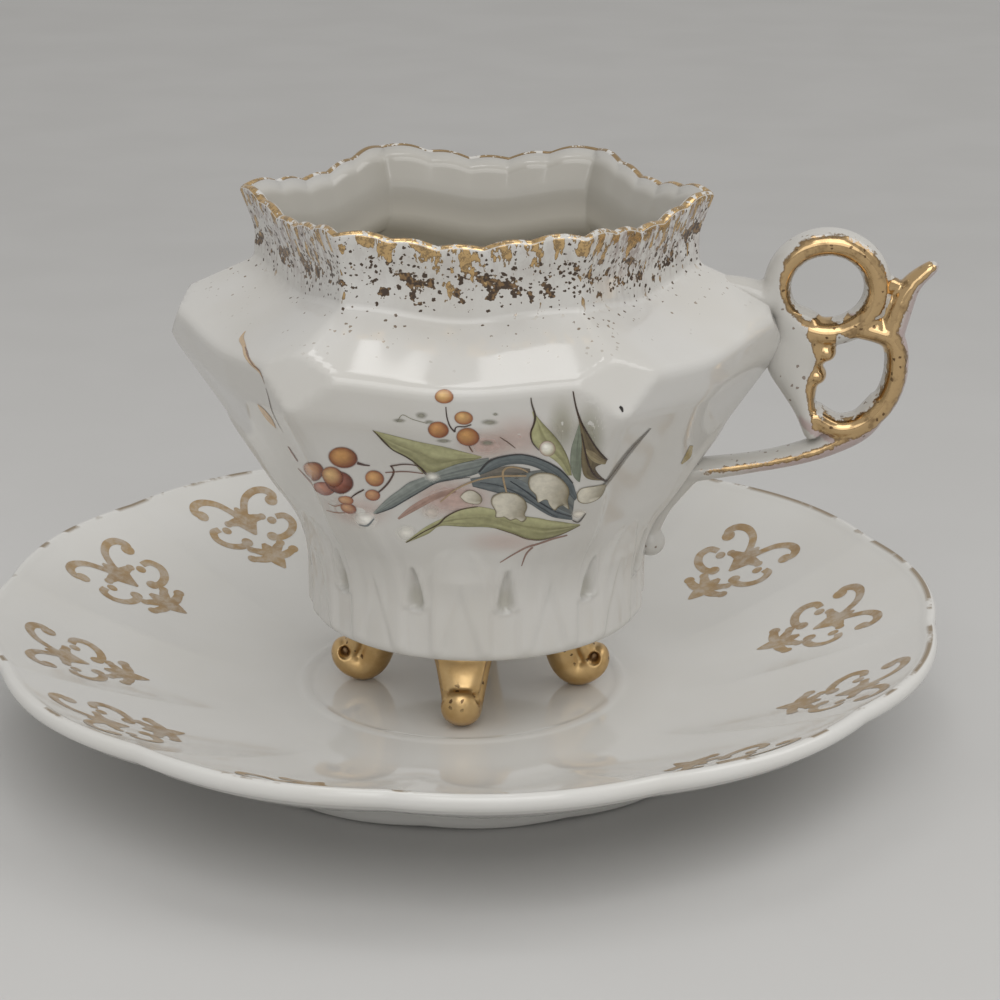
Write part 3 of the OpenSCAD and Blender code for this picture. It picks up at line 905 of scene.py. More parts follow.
GREEN = tint(184, 183, 140)
GREEN_DARK = tint(118, 115, 80)
BLUE = tint(148, 155, 150)
BLUE_DARK = tint(82, 90, 92)
PINK = tint(216, 184, 174)
INK = tint(66, 50, 42)
STRAW = tint(172, 150, 118)
BUD_GREY = tint(148, 146, 132)
CREAM = tint(212, 207, 192)
CREAM_SHADE = tint(120, 110, 86)


def add_patch(spots, faces, colours, cover, layer, panel=-90):
    patches.append((np.asarray(spots), faces, np.column_stack([colours, cover]), layer, panel))


def sheet(one_edge, other_edge, across, colour_of, layer, panel=-90):
    v = np.array(across)
    spots = mix(other_edge[:, None, :], one_edge[:, None, :], (v[None, :, None] + 1) / 2)
    rows, columns = spots.shape[:2]
    u = np.repeat(np.linspace(0, 1, rows), columns)
    colours, cover = colour_of(u, np.tile(v, rows))
    add_patch(spots.reshape(-1, 2), grid_faces(rows, columns), colours, cover, layer, panel)


print("Cream as light", CREAM.round(3))


# %% [markdown]
# A leaf lies between its two edges. It is darker at the edge, along the middle and towards the tip,
# with streaks that are drawn by chance from a fixed seed. A twig is a brush line that swells and thins.

# %% Leaves and twigs
ripple = np.random.default_rng(7)
LEAF_ACROSS = [-1, -0.93, -0.8, -0.6, -0.4, -0.2, -0.07, 0.07, 0.2, 0.4, 0.6, 0.8, 0.93, 1]


def leaf(one_edge, other_edge, light, dark, layer, panel=-90):
    streak = ripple.uniform(-1, 1, 40)

    def colour_of(u, w):
        run = np.interp((w * 8 + u * 5) % 39, np.arange(40), streak)
        t = 0.3 - 0.28 * w + 0.3 * run + 0.2 * (np.abs(w) < 0.1) + 0.3 * (np.abs(w) > 0.9) + 0.3 * u ** 4
        cover = np.where(np.abs(w) > 0.99, 0.0, 0.95)
        return mix(light, dark, np.clip(t, 0, 1)[:, None]), cover
    sheet(curve(one_edge, 10), curve(other_edge, 10), LEAF_ACROSS, colour_of, layer, panel)


def twig(points, widths, colour, layer, panel=-90, cover=0.9):
    path = curve([[*p, w / 2] for p, w in zip(points, widths)], 8)
    t = heading_of(path)
    side = np.stack([-t[:, 1], t[:, 0]], 1) * path[:, 2:] * 1.25

    def colour_of(u, w):
        return 0 * u[:, None] + colour, np.where(np.abs(w) > 0.99, 0, cover)
    sheet(path[:, :2] + side, path[:, :2] - side, [-1, -0.6, 0, 0.6, 1], colour_of, layer, panel)


print("Points across a leaf", len(LEAF_ACROSS))


# %% [markdown]
# A berry is round, with a light spot and a dark rim. It may slant where it wraps over a corner. A wash
# is a soft cloud of thin colour. A bell follows its own outline, shaded on one side, with a pale lip
# below.

# %% Berries, washes and bells
BERRY_HEART = np.array([1.0, 1.05, 1.1])
BERRY_RIM = np.array([0.72, 0.58, 0.62])


def disc(x, z, half_x, half_z, colour_of, layer, slant=0.0):
    radii = np.array([0, 0.25, 0.45, 0.62, 0.76, 0.86, 0.93, 1.0])
    a = np.arange(28) * math.tau / 28
    px = np.outer(radii, np.cos(a)).ravel()
    pz = np.outer(radii, np.sin(a)).ravel()
    colours, cover = colour_of(px, pz)
    spots = np.stack([x + half_x * px, z + half_z * pz + slant * px], 1)
    add_patch(spots, grid_faces(len(radii), len(a), True), colours, cover, layer)


def berry(x, z, half_x, half_z, light, dark, layer, slant=0.0):
    def colour_of(px, pz):
        out = np.hypot(px, pz)
        shade = smooth(np.hypot(px + 0.2, pz - 0.2) / 1.15) ** 1.3
        glow = np.exp(-((px + 0.25) ** 2 + (pz - 0.3) ** 2) / 0.05)
        colours = mix(light, dark, shade[:, None]) * (1.05 + 0.2 * glow)[:, None]
        rim = smooth((out - 0.55) / 0.45)[:, None]
        return colours * mix(BERRY_HEART, BERRY_RIM, rim), smooth((1 - out) / 0.13)
    disc(x, z, half_x * 1.04, half_z * 1.04, colour_of, layer, slant)


def wash(x, z, half_x, half_z, colour, strength, layer):
    def colour_of(px, pz):
        return 0 * px[:, None] + colour, strength * (1 - smooth(np.hypot(px, pz)))
    disc(x, z, half_x * 1.3, half_z * 1.3, colour_of, layer)


def blossom(outline, layer):
    edge = curve([*outline, outline[0]], 5)[:-1]
    centre = edge.mean(0)
    radii = np.array([0, 0.3, 0.55, 0.75, 0.86, 0.94, 1.0])
    spots = (centre + radii[:, None, None] * (edge - centre)).reshape(-1, 2)
    out = np.repeat(radii, len(edge))
    across, up = ((spots - centre) / np.ptp(edge, axis=0)).T
    lip = smooth((-up - 0.22) / 0.16)
    shade = smooth(0.32 + 1.3 * across - 0.5 * up) * (1 - lip)
    t = 0.75 * shade + 0.1 * lip + 0.9 * smooth((out - 0.84) / 0.1)
    colours = mix(CREAM, CREAM_SHADE, np.clip(t, 0, 1)[:, None])
    add_patch(spots, grid_faces(len(radii), len(edge), True), colours, smooth((1 - out) / 0.06), layer)


print("Berry rim tint", BERRY_RIM)


# %% [markdown]
# Pale washes lie at the bottom. The leaves lie over them, each with the number of its layer: long green
# ones, upright ones at the right, and dark blue ones behind the bells.

# %% Leaves of the spray
wash(-0.83, 39.39, 4.92, 2.99, PINK, 0.7, 0)
wash(7.19, 48.58, 3.65, 3.12, PINK, 0.4, 0)
wash(3.23, 47.5, 3.1, 2.13, PINK, 0.6, 0)
wash(5.01, 33.07, 4.66, 1.73, PINK, 0.3, 0)
wash(-12.41, 37.1, 4.2, 2.43, PINK, 0.4, 0)
wash(11.98, 50, 1.67, 3.73, tint(168, 164, 140), 0.5, 0)
wash(15.04, 48.61, 1.68, 4.59, tint(168, 166, 146), 0.6, 0)
leaf([(-7.47, 36.23), (-5.83, 38.07), (-3.41, 39.82), (-0.7, 40.95)],
     [(-7.28, 36.02), (-5.23, 37.46), (-2.81, 39.17), (-0.38, 40.37)], tint(180, 152, 140),
     tint(146, 116, 104), 1)
leaf([(-9.27, 49.2), (-7.17, 48.66), (-4.1, 47.84), (-1.3, 47.23), (1.21, 46.39), (2.77, 45.84)],
     [(-9.2, 48.99), (-7.86, 46.95), (-5.41, 45.02), (-3.59, 42.84), (-0.3, 44.41), (2.76, 45.63)], GREEN,
     GREEN_DARK, 3)
leaf([(-6.76, 32.67), (-4.26, 35.05), (-2.14, 36.45), (-0.03, 37.83), (2.01, 38.34), (4.59, 37.78),
      (7.45, 36.99), (10.88, 36.49), (13.74, 35.58)],
     [(-6.61, 32.61), (-4.02, 33.99), (-2.49, 35.22), (0.43, 35.16), (3.34, 35.12), (5.93, 34.34),
      (7.93, 33.54), (10.83, 33.97), (13.74, 35.33)], GREEN, GREEN_DARK, 4)
leaf([(8.6, 52.08), (8.81, 50.81), (8.42, 49.29), (8.63, 47.8), (9.95, 46.25), (11.33, 44.9),
      (12.43, 43.08)],
     [(8.76, 52.08), (9.75, 50.72), (10.85, 49.29), (11.72, 47.87), (12.34, 46.42), (12.74, 44.86),
      (12.94, 43.08)], GREEN, GREEN_DARK, 3)
leaf([(13.8, 50.53), (13.36, 48.88), (12.91, 47.06), (12.74, 45.01), (13.06, 43.08), (13.61, 42.19)],
     [(13.91, 50.53), (14.12, 48.89), (14.21, 47.07), (14.1, 45.02), (13.99, 43.26), (13.84, 42.14)],
     tint(140, 148, 132), tint(98, 106, 90), 4)
leaf([(13.16, 54.61), (13.44, 52.61), (13.88, 50.53), (14.08, 47.87), (13.99, 44.95), (14.47, 42.81),
      (16.39, 42.04)],
     [(13.27, 54.61), (13.63, 52.61), (14.44, 50.19), (15.53, 47.57), (16.81, 45.24), (15.62, 44.2),
      (16.66, 42.04)], tint(124, 112, 84), tint(64, 50, 40), 5)
leaf([(14.4, 46.86), (15.01, 45.56), (15.85, 44.88), (16.7, 44.64)],
     [(14.63, 47.08), (15.64, 46.56), (16.28, 45.81), (16.92, 45.23)], tint(160, 148, 116),
     tint(104, 88, 66), 6)
leaf([(-10.27, 36.96), (-8.39, 39.23), (-6.99, 40.55), (-5.75, 41.72), (-4.12, 42.52), (-2.05, 43.7),
      (-0, 44.74), (2.01, 45.33), (3.59, 45.71)],
     [(-10.05, 36.75), (-8.05, 37.71), (-6.21, 39.1), (-4.53, 40.36), (-2.73, 41.73), (-0.97, 42.31),
      (0.91, 42.76), (2.36, 43.37), (3.54, 44.48)], BLUE, BLUE_DARK, 6)
leaf([(2.49, 43.15), (5.38, 44.42), (8.2, 44.05)],
     [(2.46, 42.27), (5.31, 42.31), (8.16, 42.58)], tint(124, 118, 108), tint(84, 82, 78), 5)
leaf([(1.33, 42.55), (3.91, 43.03), (6.18, 42.75), (7.86, 41.88), (9.53, 40.16), (11.21, 38.56),
      (12.91, 37.42)],
     [(1.56, 41.3), (3.82, 40.53), (6.37, 39.69), (8.07, 38.72), (9.47, 37.59), (11.17, 36.85),
      (12.89, 36.45)], tint(122, 130, 132), tint(66, 74, 80), 6)
leaf([(5.32, 42.64), (7.91, 43.63), (10.46, 43.87), (12.13, 42.33), (13.24, 40.03)],
     [(5.26, 40.69), (6.94, 39.5), (9.2, 38.21), (11.24, 37.16), (12.83, 36.46)], tint(134, 138, 134),
     tint(78, 84, 88), 5)
leaf([(2.22, 43.44), (3.56, 45.13), (5.14, 45.86), (7.41, 46.16), (9.65, 45.35), (11.6, 43.95),
      (12.98, 42.04), (13.52, 39.97)],
     [(2.49, 43.08), (3.94, 43.83), (5.53, 44.57), (7.37, 44.71), (9.05, 44.12), (10.73, 42.87),
      (12.11, 41.13), (13.23, 39.47)], tint(116, 126, 128), tint(58, 64, 70), 7)
print("Patches so far", len(patches))


# %% [markdown]
# A fine brush drew dark lines along the edges of the leaves, loose twigs below them and small grey buds
# above.

# %% Lines of the leaves
twig([(-9.35, 49.27), (-8.62, 48.31), (-7.97, 47.34), (-7.18, 46.38), (-5.94, 45.61), (-4.86, 44.68),
      (-4.06, 43.62), (-3.54, 42.69)],
     [0.09, 0.18, 0.21, 0.12, 0.18, 0.15, 0.21, 0.27], INK, 8)
twig([(-6.61, 32.68), (-4.59, 34.27), (-2.77, 35.48), (-1.69, 36.73), (-0.04, 37.8), (2.01, 38.3)],
     [0.15, 0.15, 0.21, 0.21, 0.18, 0.09], tint(84, 70, 54), 8)
twig([(3.92, 35.13), (5.93, 34.34), (7.93, 33.54), (10.83, 33.97), (13.74, 35.41)],
     [0.06, 0.12, 0.15, 0.12, 0.09], tint(104, 88, 66), 8)
twig([(8.5, 53.85), (8.6, 53.02), (8.93, 51.67), (8.83, 50.64), (8.42, 49.29), (8.61, 47.87),
      (9.28, 46.8)],
     [0.12, 0.18, 0.24, 0.24, 0.18, 0.15, 0.09], tint(70, 58, 46), 8)
twig([(13.16, 54.69), (13.47, 52.92), (13.94, 51.18), (14.76, 49.32), (15.64, 47.42), (16.93, 45.31)],
     [0.12, 0.18, 0.21, 0.21, 0.21, 0.21], INK, 8)
twig([(14.09, 49.32), (14.41, 47.15), (14.83, 44.89), (15.61, 42.99), (16.88, 41.66)],
     [0.09, 0.18, 0.21, 0.21, 0.24], INK, 8)
twig([(-9.89, 36.85), (-8.05, 37.74), (-6.21, 39.1), (-4.53, 40.36), (-2.73, 41.69), (-0.98, 42.27),
      (1.34, 42.77)],
     [0.12, 0.15, 0.15, 0.12, 0.15, 0.15, 0.09], tint(64, 68, 72), 8)
twig([(2.37, 43.52), (3.56, 45.13), (5.14, 45.86), (7.41, 46.16), (9.65, 45.35), (11.6, 43.95),
      (13.04, 41.96)],
     [0.24, 0.27, 0.24, 0.18, 0.21, 0.24, 0.15], tint(58, 60, 64), 8)
twig([(5.88, 42.23), (7.83, 40.51), (9.78, 38.58), (12.76, 37.05)],
     [0.12, 0.21, 0.21, 0.15], tint(58, 64, 72), 8)
twig([(2.45, 41.98), (4.71, 41.49), (6.96, 40.24), (9.2, 38.37), (11.18, 37.08)],
     [0.12, 0.18, 0.18, 0.18, 0.12], tint(70, 76, 82), 8)
twig([(4.32, 29.9), (6.13, 31.32), (7.91, 32.52), (10.24, 33.48), (12.27, 34.01)],
     [0.12, 0.21, 0.27, 0.3, 0.24], tint(150, 122, 110), 2)
twig([(6.83, 29.31), (7.44, 31.26), (8.25, 32.41)], [0.12, 0.21, 0.21], tint(146, 118, 108), 2)
twig([(4.96, 48.72), (5.83, 47.94), (6.65, 47.09)], [0.09, 0.15, 0.09], tint(96, 76, 64), 4)
twig([(21.75, 47.79), (20.02, 45.94), (18.63, 44.17), (17.16, 41.88), (15.57, 39.57)],
     [0.3, 0.79, 0.91, 0.79, 0.24], tint(134, 132, 126), 2, cover=0.8)
twig([(21.59, 47.55), (19.47, 45.36), (17.78, 42.9), (16.65, 41.4)],
     [0.15, 0.21, 0.18, 0.15], tint(88, 84, 80), 3)
GREY_BUDS = ((-6.27, 50.67, 0.73, 0.29),
             (-3.77, 51.39, 0.68, 0.45),
             (-2.89, 50.59, 0.56, 0.26),
             (3.84, 50.69, 0.95, 0.39),
             (4.52, 51.71, 0.33, 0.22),
             (3.52, 47.86, 0.84, 0.43),
             (-1.4, 48.05, 0.85, 0.32))
for bud in GREY_BUDS:
    wash(*bud, BUD_GREY, 0.9, 3)
twig([(-6.5, 50.5), (-5.9, 51.39), (-4.79, 50.88), (-3.12, 50.38)],
     [0.09, 0.09, 0.09, 0.09], tint(140, 138, 120), 3)
print("Patches so far", len(patches))


# %% [markdown]
# Two bunches of berries hang on thin stalks, one at the left that wraps over the corner, and a smaller
# one above.

# %% Berries of the spray
twig([(-20.28, 44.18), (-19.76, 43.12), (-19.28, 42.2)], [0.24, 0.36, 0.24], tint(124, 70, 54), 3)
twig([(-19.55, 40.64), (-18.45, 39.89), (-17.01, 39.08), (-14.7, 39.81)],
     [0.18, 0.36, 0.42, 0.24], tint(150, 98, 80), 3)
twig([(-11.55, 44.34), (-10.79, 44.09), (-10.08, 44.01)], [0.42, 0.27, 0.15], tint(78, 50, 44), 7)
twig([(-7.77, 44.03), (-6.02, 44.41), (-4.43, 44.11), (-3.47, 42.84)],
     [0.21, 0.18, 0.15, 0.18], tint(84, 58, 48), 7)
twig([(-7.65, 44.04), (-7.43, 43.1), (-8.23, 41.44), (-9.38, 40.1), (-10.11, 39.68)],
     [0.18, 0.21, 0.24, 0.21, 0.12], tint(84, 58, 48), 7)
twig([(-8.41, 43.05), (-6.09, 43.31), (-4.03, 43.11)], [0.15, 0.15, 0.12], tint(120, 80, 66), 7)
twig([(-11.06, 40.4), (-12.01, 39.76), (-12.7, 39.17)], [0.21, 0.21, 0.12], tint(76, 54, 46), 7)
twig([(-16.09, 36.02), (-14.64, 36.4), (-13.6, 36.67)], [0.12, 0.18, 0.12], tint(160, 124, 104), 3)
twig([(-15.64, 37.58), (-14.72, 37.49), (-13.82, 38.04)], [0.09, 0.15, 0.12], tint(160, 124, 104), 3)
twig([(-0.99, 52.56), (-0.91, 51.3), (-0.6, 50.12), (-0.07, 49.35)], [0.12, 0.15, 0.18, 0.21], INK, 4)
twig([(-0.07, 49.35), (0.12, 50.01), (1.08, 50.09), (1.81, 50.37)], [0.18, 0.15, 0.15, 0.15], INK, 5)
twig([(1.4, 47.47), (1.65, 46.83), (1.83, 46.48)], [0.12, 0.18, 0.09], tint(110, 84, 70), 4)
berry(-13.91, 41.38, 1.71, 1.69, tint(158, 100, 84), tint(106, 62, 50), 4)
berry(-15.9, 39.95, 1.5, 1.1, tint(176, 122, 100), tint(140, 93, 81), 3, 0.5)
berry(-17.05, 42.25, 1.5, 1.65, tint(194, 134, 80), tint(124, 70, 46), 5, 0.95)
berry(-13.11, 45.06, 1.69, 1.58, tint(192, 140, 84), tint(125, 74, 49), 6)
berry(-14.6, 42.17, 1.28, 1.53, tint(206, 166, 114), tint(134, 84, 62), 7)
berry(-9.7, 42.12, 1.11, 1.22, tint(203, 154, 100), tint(148, 97, 66), 8)
berry(-10.12, 39.61, 0.89, 0.84, tint(192, 145, 105), tint(153, 104, 79), 8)
berry(-13.3, 38.78, 0.91, 0.7, tint(200, 154, 112), tint(157, 108, 81), 7)
berry(-13.08, 37.52, 0.98, 0.84, tint(194, 147, 107), tint(149, 100, 79), 8)
berry(-1.17, 53.72, 1.06, 0.76, tint(201, 161, 104), tint(159, 107, 66), 5)
berry(0.97, 51.18, 1.06, 0.86, tint(198, 156, 100), tint(158, 108, 70), 5)
berry(-1.92, 49.57, 1.19, 1.11, tint(186, 134, 82), tint(142, 88, 56), 5)
berry(1.37, 48.68, 1.3, 1.29, tint(190, 140, 84), tint(146, 92, 58), 6)
print("Patches so far", len(patches))


# %% [markdown]
# White bells hang from two bent stalks over the dark leaves, with a pale bud and soft white touches.
# One short black stroke stands alone at the right.

# %% Bells of the spray
twig([(-2.3, 38.89), (-0.47, 40.81), (1.3, 41.96), (3.04, 42.65), (5.05, 42.96), (7.75, 43.02)],
     [0.15, 0.21, 0.24, 0.24, 0.27, 0.24], STRAW, 9)
twig([(5.4, 40.54), (5.12, 42.45), (5.16, 43.73), (5.89, 44.31), (7.07, 44.13), (7.96, 43.53)],
     [0.21, 0.24, 0.27, 0.27, 0.24, 0.18], STRAW, 9)
blossom([(8.03, 42.99), (7.84, 42.16), (8.01, 41.11), (8.65, 40.22), (8.8, 39.47), (8.96, 39),
         (9.58, 39.37), (10.06, 39.37), (10.33, 38.65), (10.94, 37.98), (11.44, 38.54), (12.15, 38.83),
         (12.66, 38.08), (12.49, 39.5), (12.71, 40.83), (12.27, 41.99), (11.3, 43.14), (10.17, 43.59),
         (8.9, 43.54)], 10)
blossom([(5.83, 40.61), (4.68, 40.57), (3.73, 39.95), (3.52, 38.93), (3.98, 37.62), (3.95, 36.78),
         (4.55, 36.69), (4.99, 36.78), (5.7, 36.28), (6.43, 36.5), (7.16, 36.05), (7.67, 36.65),
         (7.45, 37.22), (7.77, 38.35), (7.51, 39.47), (6.68, 40.34)], 10)
blossom([(13.39, 40.4), (13.75, 41.13), (14.39, 41.38), (15.54, 41.46), (16.72, 41.3), (16.42, 39.92),
         (15.64, 39.11), (14.44, 38.87), (13.58, 39.36)], 10)
blossom([(-0.06, 39.78), (0.44, 40.44), (1.11, 40.83), (1.82, 40.66), (2.44, 39.98), (2.6, 39.28),
         (2.24, 38.71), (1.45, 38.7), (0.59, 38.96)], 10)
berry(10.24, 47.07, 0.92, 1.16, tint(240, 234, 220), tint(186, 178, 152), 9)
wash(-3.43, 37.27, 1.05, 0.98, tint(232, 222, 212), 0.8, 9)
wash(-11.29, 36.08, 1.58, 1.32, tint(246, 244, 238), 1, 9)
wash(-6.52, 34.01, 1.25, 1.24, tint(240, 238, 230), 0.9, 3)
wash(-3.02, 42.71, 0.92, 0.74, tint(240, 238, 230), 1, 9)
wash(13.63, 37.37, 0.86, 0.7, tint(236, 230, 218), 1, 9)
twig([(-12.05, 35.09), (-11.08, 35.15), (-10.15, 36.2)], [0.12, 0.27, 0.15], tint(120, 126, 128), 10)
twig([(12.89, 36.45), (13.61, 36.03), (14.4, 37.3)], [0.15, 0.21, 0.15], tint(76, 70, 62), 10)
twig([(18.31, 52.57), (18.54, 52.34), (18.68, 51.96)], [0.21, 0.3, 0.15], tint(30, 26, 24), 3)
print("Patches so far", len(patches))


# %% [markdown]
# A thin vine runs along the top of the left panel and bends down, with one pale ochre leaf beside it.
# One small leaf shows on the right panel. These panels face other ways, so each stroke names its panel.

# %% Vine on the left panel
LEFT_PANEL = -150
RIGHT_PANEL = -30
twig([(0.9, 55.95), (2.1, 55.5), (5.4, 55.3), (10, 54.95), (13.4, 54.6), (14.26, 53.44)],
     [0.12, 0.3, 0.24, 0.4, 0.26, 0.1], tint(204, 176, 140), 3, LEFT_PANEL, 0.85)
twig([(5.2, 55.36), (8, 55.25), (11.17, 54.9), (13.62, 54.7), (14.26, 53.44)],
     [0.06, 0.14, 0.14, 0.16, 0.08], tint(136, 108, 90), 4, LEFT_PANEL)
twig([(14.22, 52.94), (14.15, 51.2), (12.69, 48.48), (12, 46.6)],
     [0.12, 0.24, 0.2, 0.1], tint(112, 96, 82), 4, LEFT_PANEL)
leaf([(9.12, 49.6), (8.41, 48.28), (8.65, 47.17), (10.13, 46.6)],
     [(9.12, 49.6), (10.7, 49.3), (11.2, 48.2), (10.13, 46.6)], tint(212, 178, 132), tint(188, 150, 106),
     3, LEFT_PANEL)
leaf([(5.41, 40.7), (5.68, 39.21), (5.9, 38.02)],
     [(6.63, 40.32), (8.25, 38.25), (6.55, 37.67)], tint(176, 160, 110), tint(150, 130, 84), 3,
     RIGHT_PANEL)
print("Patches so far", len(patches))


# %% [markdown]
# The patches are laid on the glaze by a straight throw at their panel, one ray for each point. They lie
# between two and ten hundredths of a millimetre above the glaze, each layer over the last, and all of
# them become one piece.

# %% Lay the paint on the glaze
FIRST_COAT = 0.02
NEXT_COAT = 0.008


def lay_paint(name, target):
    glazed = BVHTree.FromObject(target, bpy.context.evaluated_depsgraph_get())
    points = []
    faces = []
    colours = []
    for spots, shape, paint, layer, panel in patches:
        a = math.radians(panel)
        n = np.array([math.cos(a), math.sin(a), 0])
        across = np.array([-n[1], n[0], 0])
        shift = len(points)
        for x, z in spots:
            start = Vector((np.array([cup_x, cup_y, z]) + n * 80 + across * x) * MM)
            hit, normal, _, _ = glazed.ray_cast(start, Vector(-n))
            points.append((hit + normal * (FIRST_COAT + NEXT_COAT * layer) * MM) / MM)
        faces += [tuple(i + shift for i in f) for f in shape]
        colours.append(paint)
    piece = make_piece(name, np.array(points), faces, enamel)
    store = piece.data.color_attributes.new("paint", "FLOAT_COLOR", "POINT")
    store.data.foreach_set("color", np.concatenate(colours).astype(np.float32).ravel())
    print(name, "faces", len(faces))
    return piece


spray = lay_paint("painted_spray", cup_body)
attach(spray, "cup")


# %% [markdown]
# The handle and the feet are modelled from rolled scrolls that grow into each other. Each scroll is a
# tube along a path of points, given as reach, height, half thickness and half width. Booleans would
# leave hard seams, so the tubes are melted together on a fine lattice and smoothed, which leaves the
# soft inner corners that glaze has. They are melted at a thousand times their size, so that the lattice
# is given in millimetres, and then set to their real size.

# %% Scrolls
def tube(path, closed=False, sides=28):
    t = heading_of(path, closed)
    a = np.arange(sides) * math.tau / sides
    d = path[:, 2:3] * np.cos(a)
    points = np.stack([path[:, :1] + d * t[:, 1:], path[:, 3:] * np.sin(a), path[:, 1:2] - d * t[:, :1]], 2)
    faces = grid_faces(len(path), sides, around=True, joined=closed)
    if not closed:
        faces += end_caps(len(path), sides)
    return points.reshape(-1, 3), faces


def ball(x, z, r, wide=1.0, steps=16):
    c = np.cos(np.linspace(-1.55, 1.55, steps))
    s = np.sin(np.linspace(-1.55, 1.55, steps))
    return tube(np.stack([x + r * s, z + 0 * c, r * c, wide * r * c], 1))


def melt(name, parts, lattice, rounds):
    points, faces = gather(parts)
    rough = make_piece(name, points / MM, faces)
    fuse = rough.modifiers.new("fuse", "REMESH")
    fuse.mode = "VOXEL"
    fuse.voxel_size = lattice
    fuse.use_smooth_shade = True
    soften = rough.modifiers.new("soften", "SMOOTH")
    soften.factor = 0.5
    soften.iterations = rounds
    graph = bpy.context.evaluated_depsgraph_get()
    mesh = bpy.data.meshes.new_from_object(rough.evaluated_get(graph), depsgraph=graph)
    rough.modifiers.clear()
    rough.data = mesh
    spots = np.empty(len(mesh.vertices) * 3, np.float32)
    mesh.vertices.foreach_get("co", spots)
    return rough, spots.reshape(-1, 3)


def place_spots(piece, spots):
    piece.data.vertices.foreach_set("co", (np.asarray(spots) * MM).astype(np.float32).ravel())
    piece.data.update()


# %% [markdown]
# The handle has an upper ring, a root on the shoulder, a web down to the arm, a stem that bends round
# the lower opening, a spur for the thumb, a long arm back to the body with its tail, and small rolls
# where scrolls meet. Their points hang on the cup's own sizes, so they meet its wall.

# %% Handle
handle_z = ridge_z - 2.1
loop_x = brow_r + 5.2
loop_z = handle_z + 4.8
loop_a = 6.05
loop_b = 5.6
half_w = 2.6
waist = np.array([base_r, waist_z])
brow = np.array([brow_r, brow_z])
ridge = np.array([ridge_r, ridge_z])
crease = np.array([crease_r, crease_z])
arm_seat = mix(waist, brow, (handle_z - 19.2 - waist_z) / (brow_z - waist_z))


def at(out, up, half, w=half_w):
    return [brow_r + out, handle_z + up, half, w]


turns = np.radians(np.arange(0, 360, 3))
ring_x = loop_x + loop_a * np.cos(turns)
ring_z = loop_z + loop_b * np.sin(turns)
upper_ring = np.stack([ring_x, ring_z, 0 * turns + 1.7, 0 * turns + half_w], 1)
root = curve([
    [*(mix(ridge, crease, 0.88) - [0, 1.3]), 0.7, 1.4],
    [*(mix(ridge, crease, 0.55) - [0.2, 0.6]), 1.4, 2],
    [loop_x - loop_a - 1.2, loop_z - 1.4, 2, half_w],
    [loop_x - loop_a + 0.2, loop_z + 0.5, 1.8, half_w]], 12)
web = curve([
    [loop_x - loop_a + 0.9, loop_z - 3.2, 1.7, half_w], at(2, -1.4, 3.8), at(1.6, -4.6, 3.6),
    at(2.1, -7.4, 2.5), at(3, -10.6, 1.4), at(4.3, -13.8, 1.3)], 10)
stem = curve([
    [loop_x + loop_a * 0.6, loop_z - loop_b * 0.84, 1.5, half_w], at(13.1, -1.4, 1.5), at(13.9, -5.3, 1.5),
    at(12.8, -9.2, 1.5), at(10.2, -12, 1.5), at(7, -12.8, 1.5), at(4, -11.2, 1.5)], 12)
spur = curve([
    at(12.9, -1.5, 1.7), at(13.9, 2.4, 1.7, 2.2), at(15.4, 5.4, 1.2, 1.8), at(17.7, 7.5, 0.8, 1.2),
    at(18, 7.8, 0.3, 0.4)], 10)
arm = curve([
    at(12.3, -9.5, 1.5, 2.4), at(9.9, -12.6, 1.8, 2.4), at(6.4, -14.9, 1.5, 2.4), at(2.2, -16.5, 1.3, 2.3),
    at(-3, -17.7, 1.2, 2.2), [*(arm_seat + [2, 0.5]), 1.4, 2.2], [*(arm_seat - [1, 0]), 1.5, 2.2]], 10)
tail = curve([
    [*(arm_seat + [0.2, 0]), 1.5, 1.9], [*(mix(waist, arm_seat, 0.42) + [0.1, 0]), 1.2, 1.6],
    [*(waist + [0.5, -0.6]), 1.2, 1.4]], 12)
parts = [tube(upper_ring, closed=True)]
parts += [tube(path) for path in (root, web, stem, spur, arm, tail)]
BUMPS = ((5.3, -3.2, 1.3, 1.8), (4.3, -6.2, 1.2, 1.9), (11.3, 0.3, 1.3, 1.7), (13, 5.2, 1, 1.6))
parts += [ball(brow_r + x, handle_z + z, r, wide) for x, z, r, wide in BUMPS]
parts.append(ball(base_r + 0.7, waist_z - 1.8, 1.9))
handle, spots = melt("scroll_handle", parts, 0.26, 5)
place_spots(handle, spots + [cup_x, cup_y, 0])
turn_outward(handle)


# %% [markdown]
# Gold was brushed along the faces of the scrolls, and the outer edges were left white. A mask painted
# by hand would be lost with the next change of shape. So each point of the handle finds how far it lies
# from each scroll's middle line, on which side, and how far along, and simple rules say where the brush
# went.

# %% Reach of the brush
def place_on(path, closed=False):
    t = heading_of(path, closed)
    gap = spots[:, [0, 2]][:, None, :] - path[None, :, :2]
    near = np.argmin((gap ** 2).sum(2), 1)
    off = np.take_along_axis(gap, near[:, None, None], 1)[:, 0]
    side = off[:, 0] * t[near, 1] - off[:, 1] * t[near, 0]
    half = path[near, 2]
    return np.hypot(*off.T) / half, side / half, near / (len(path) - 1)


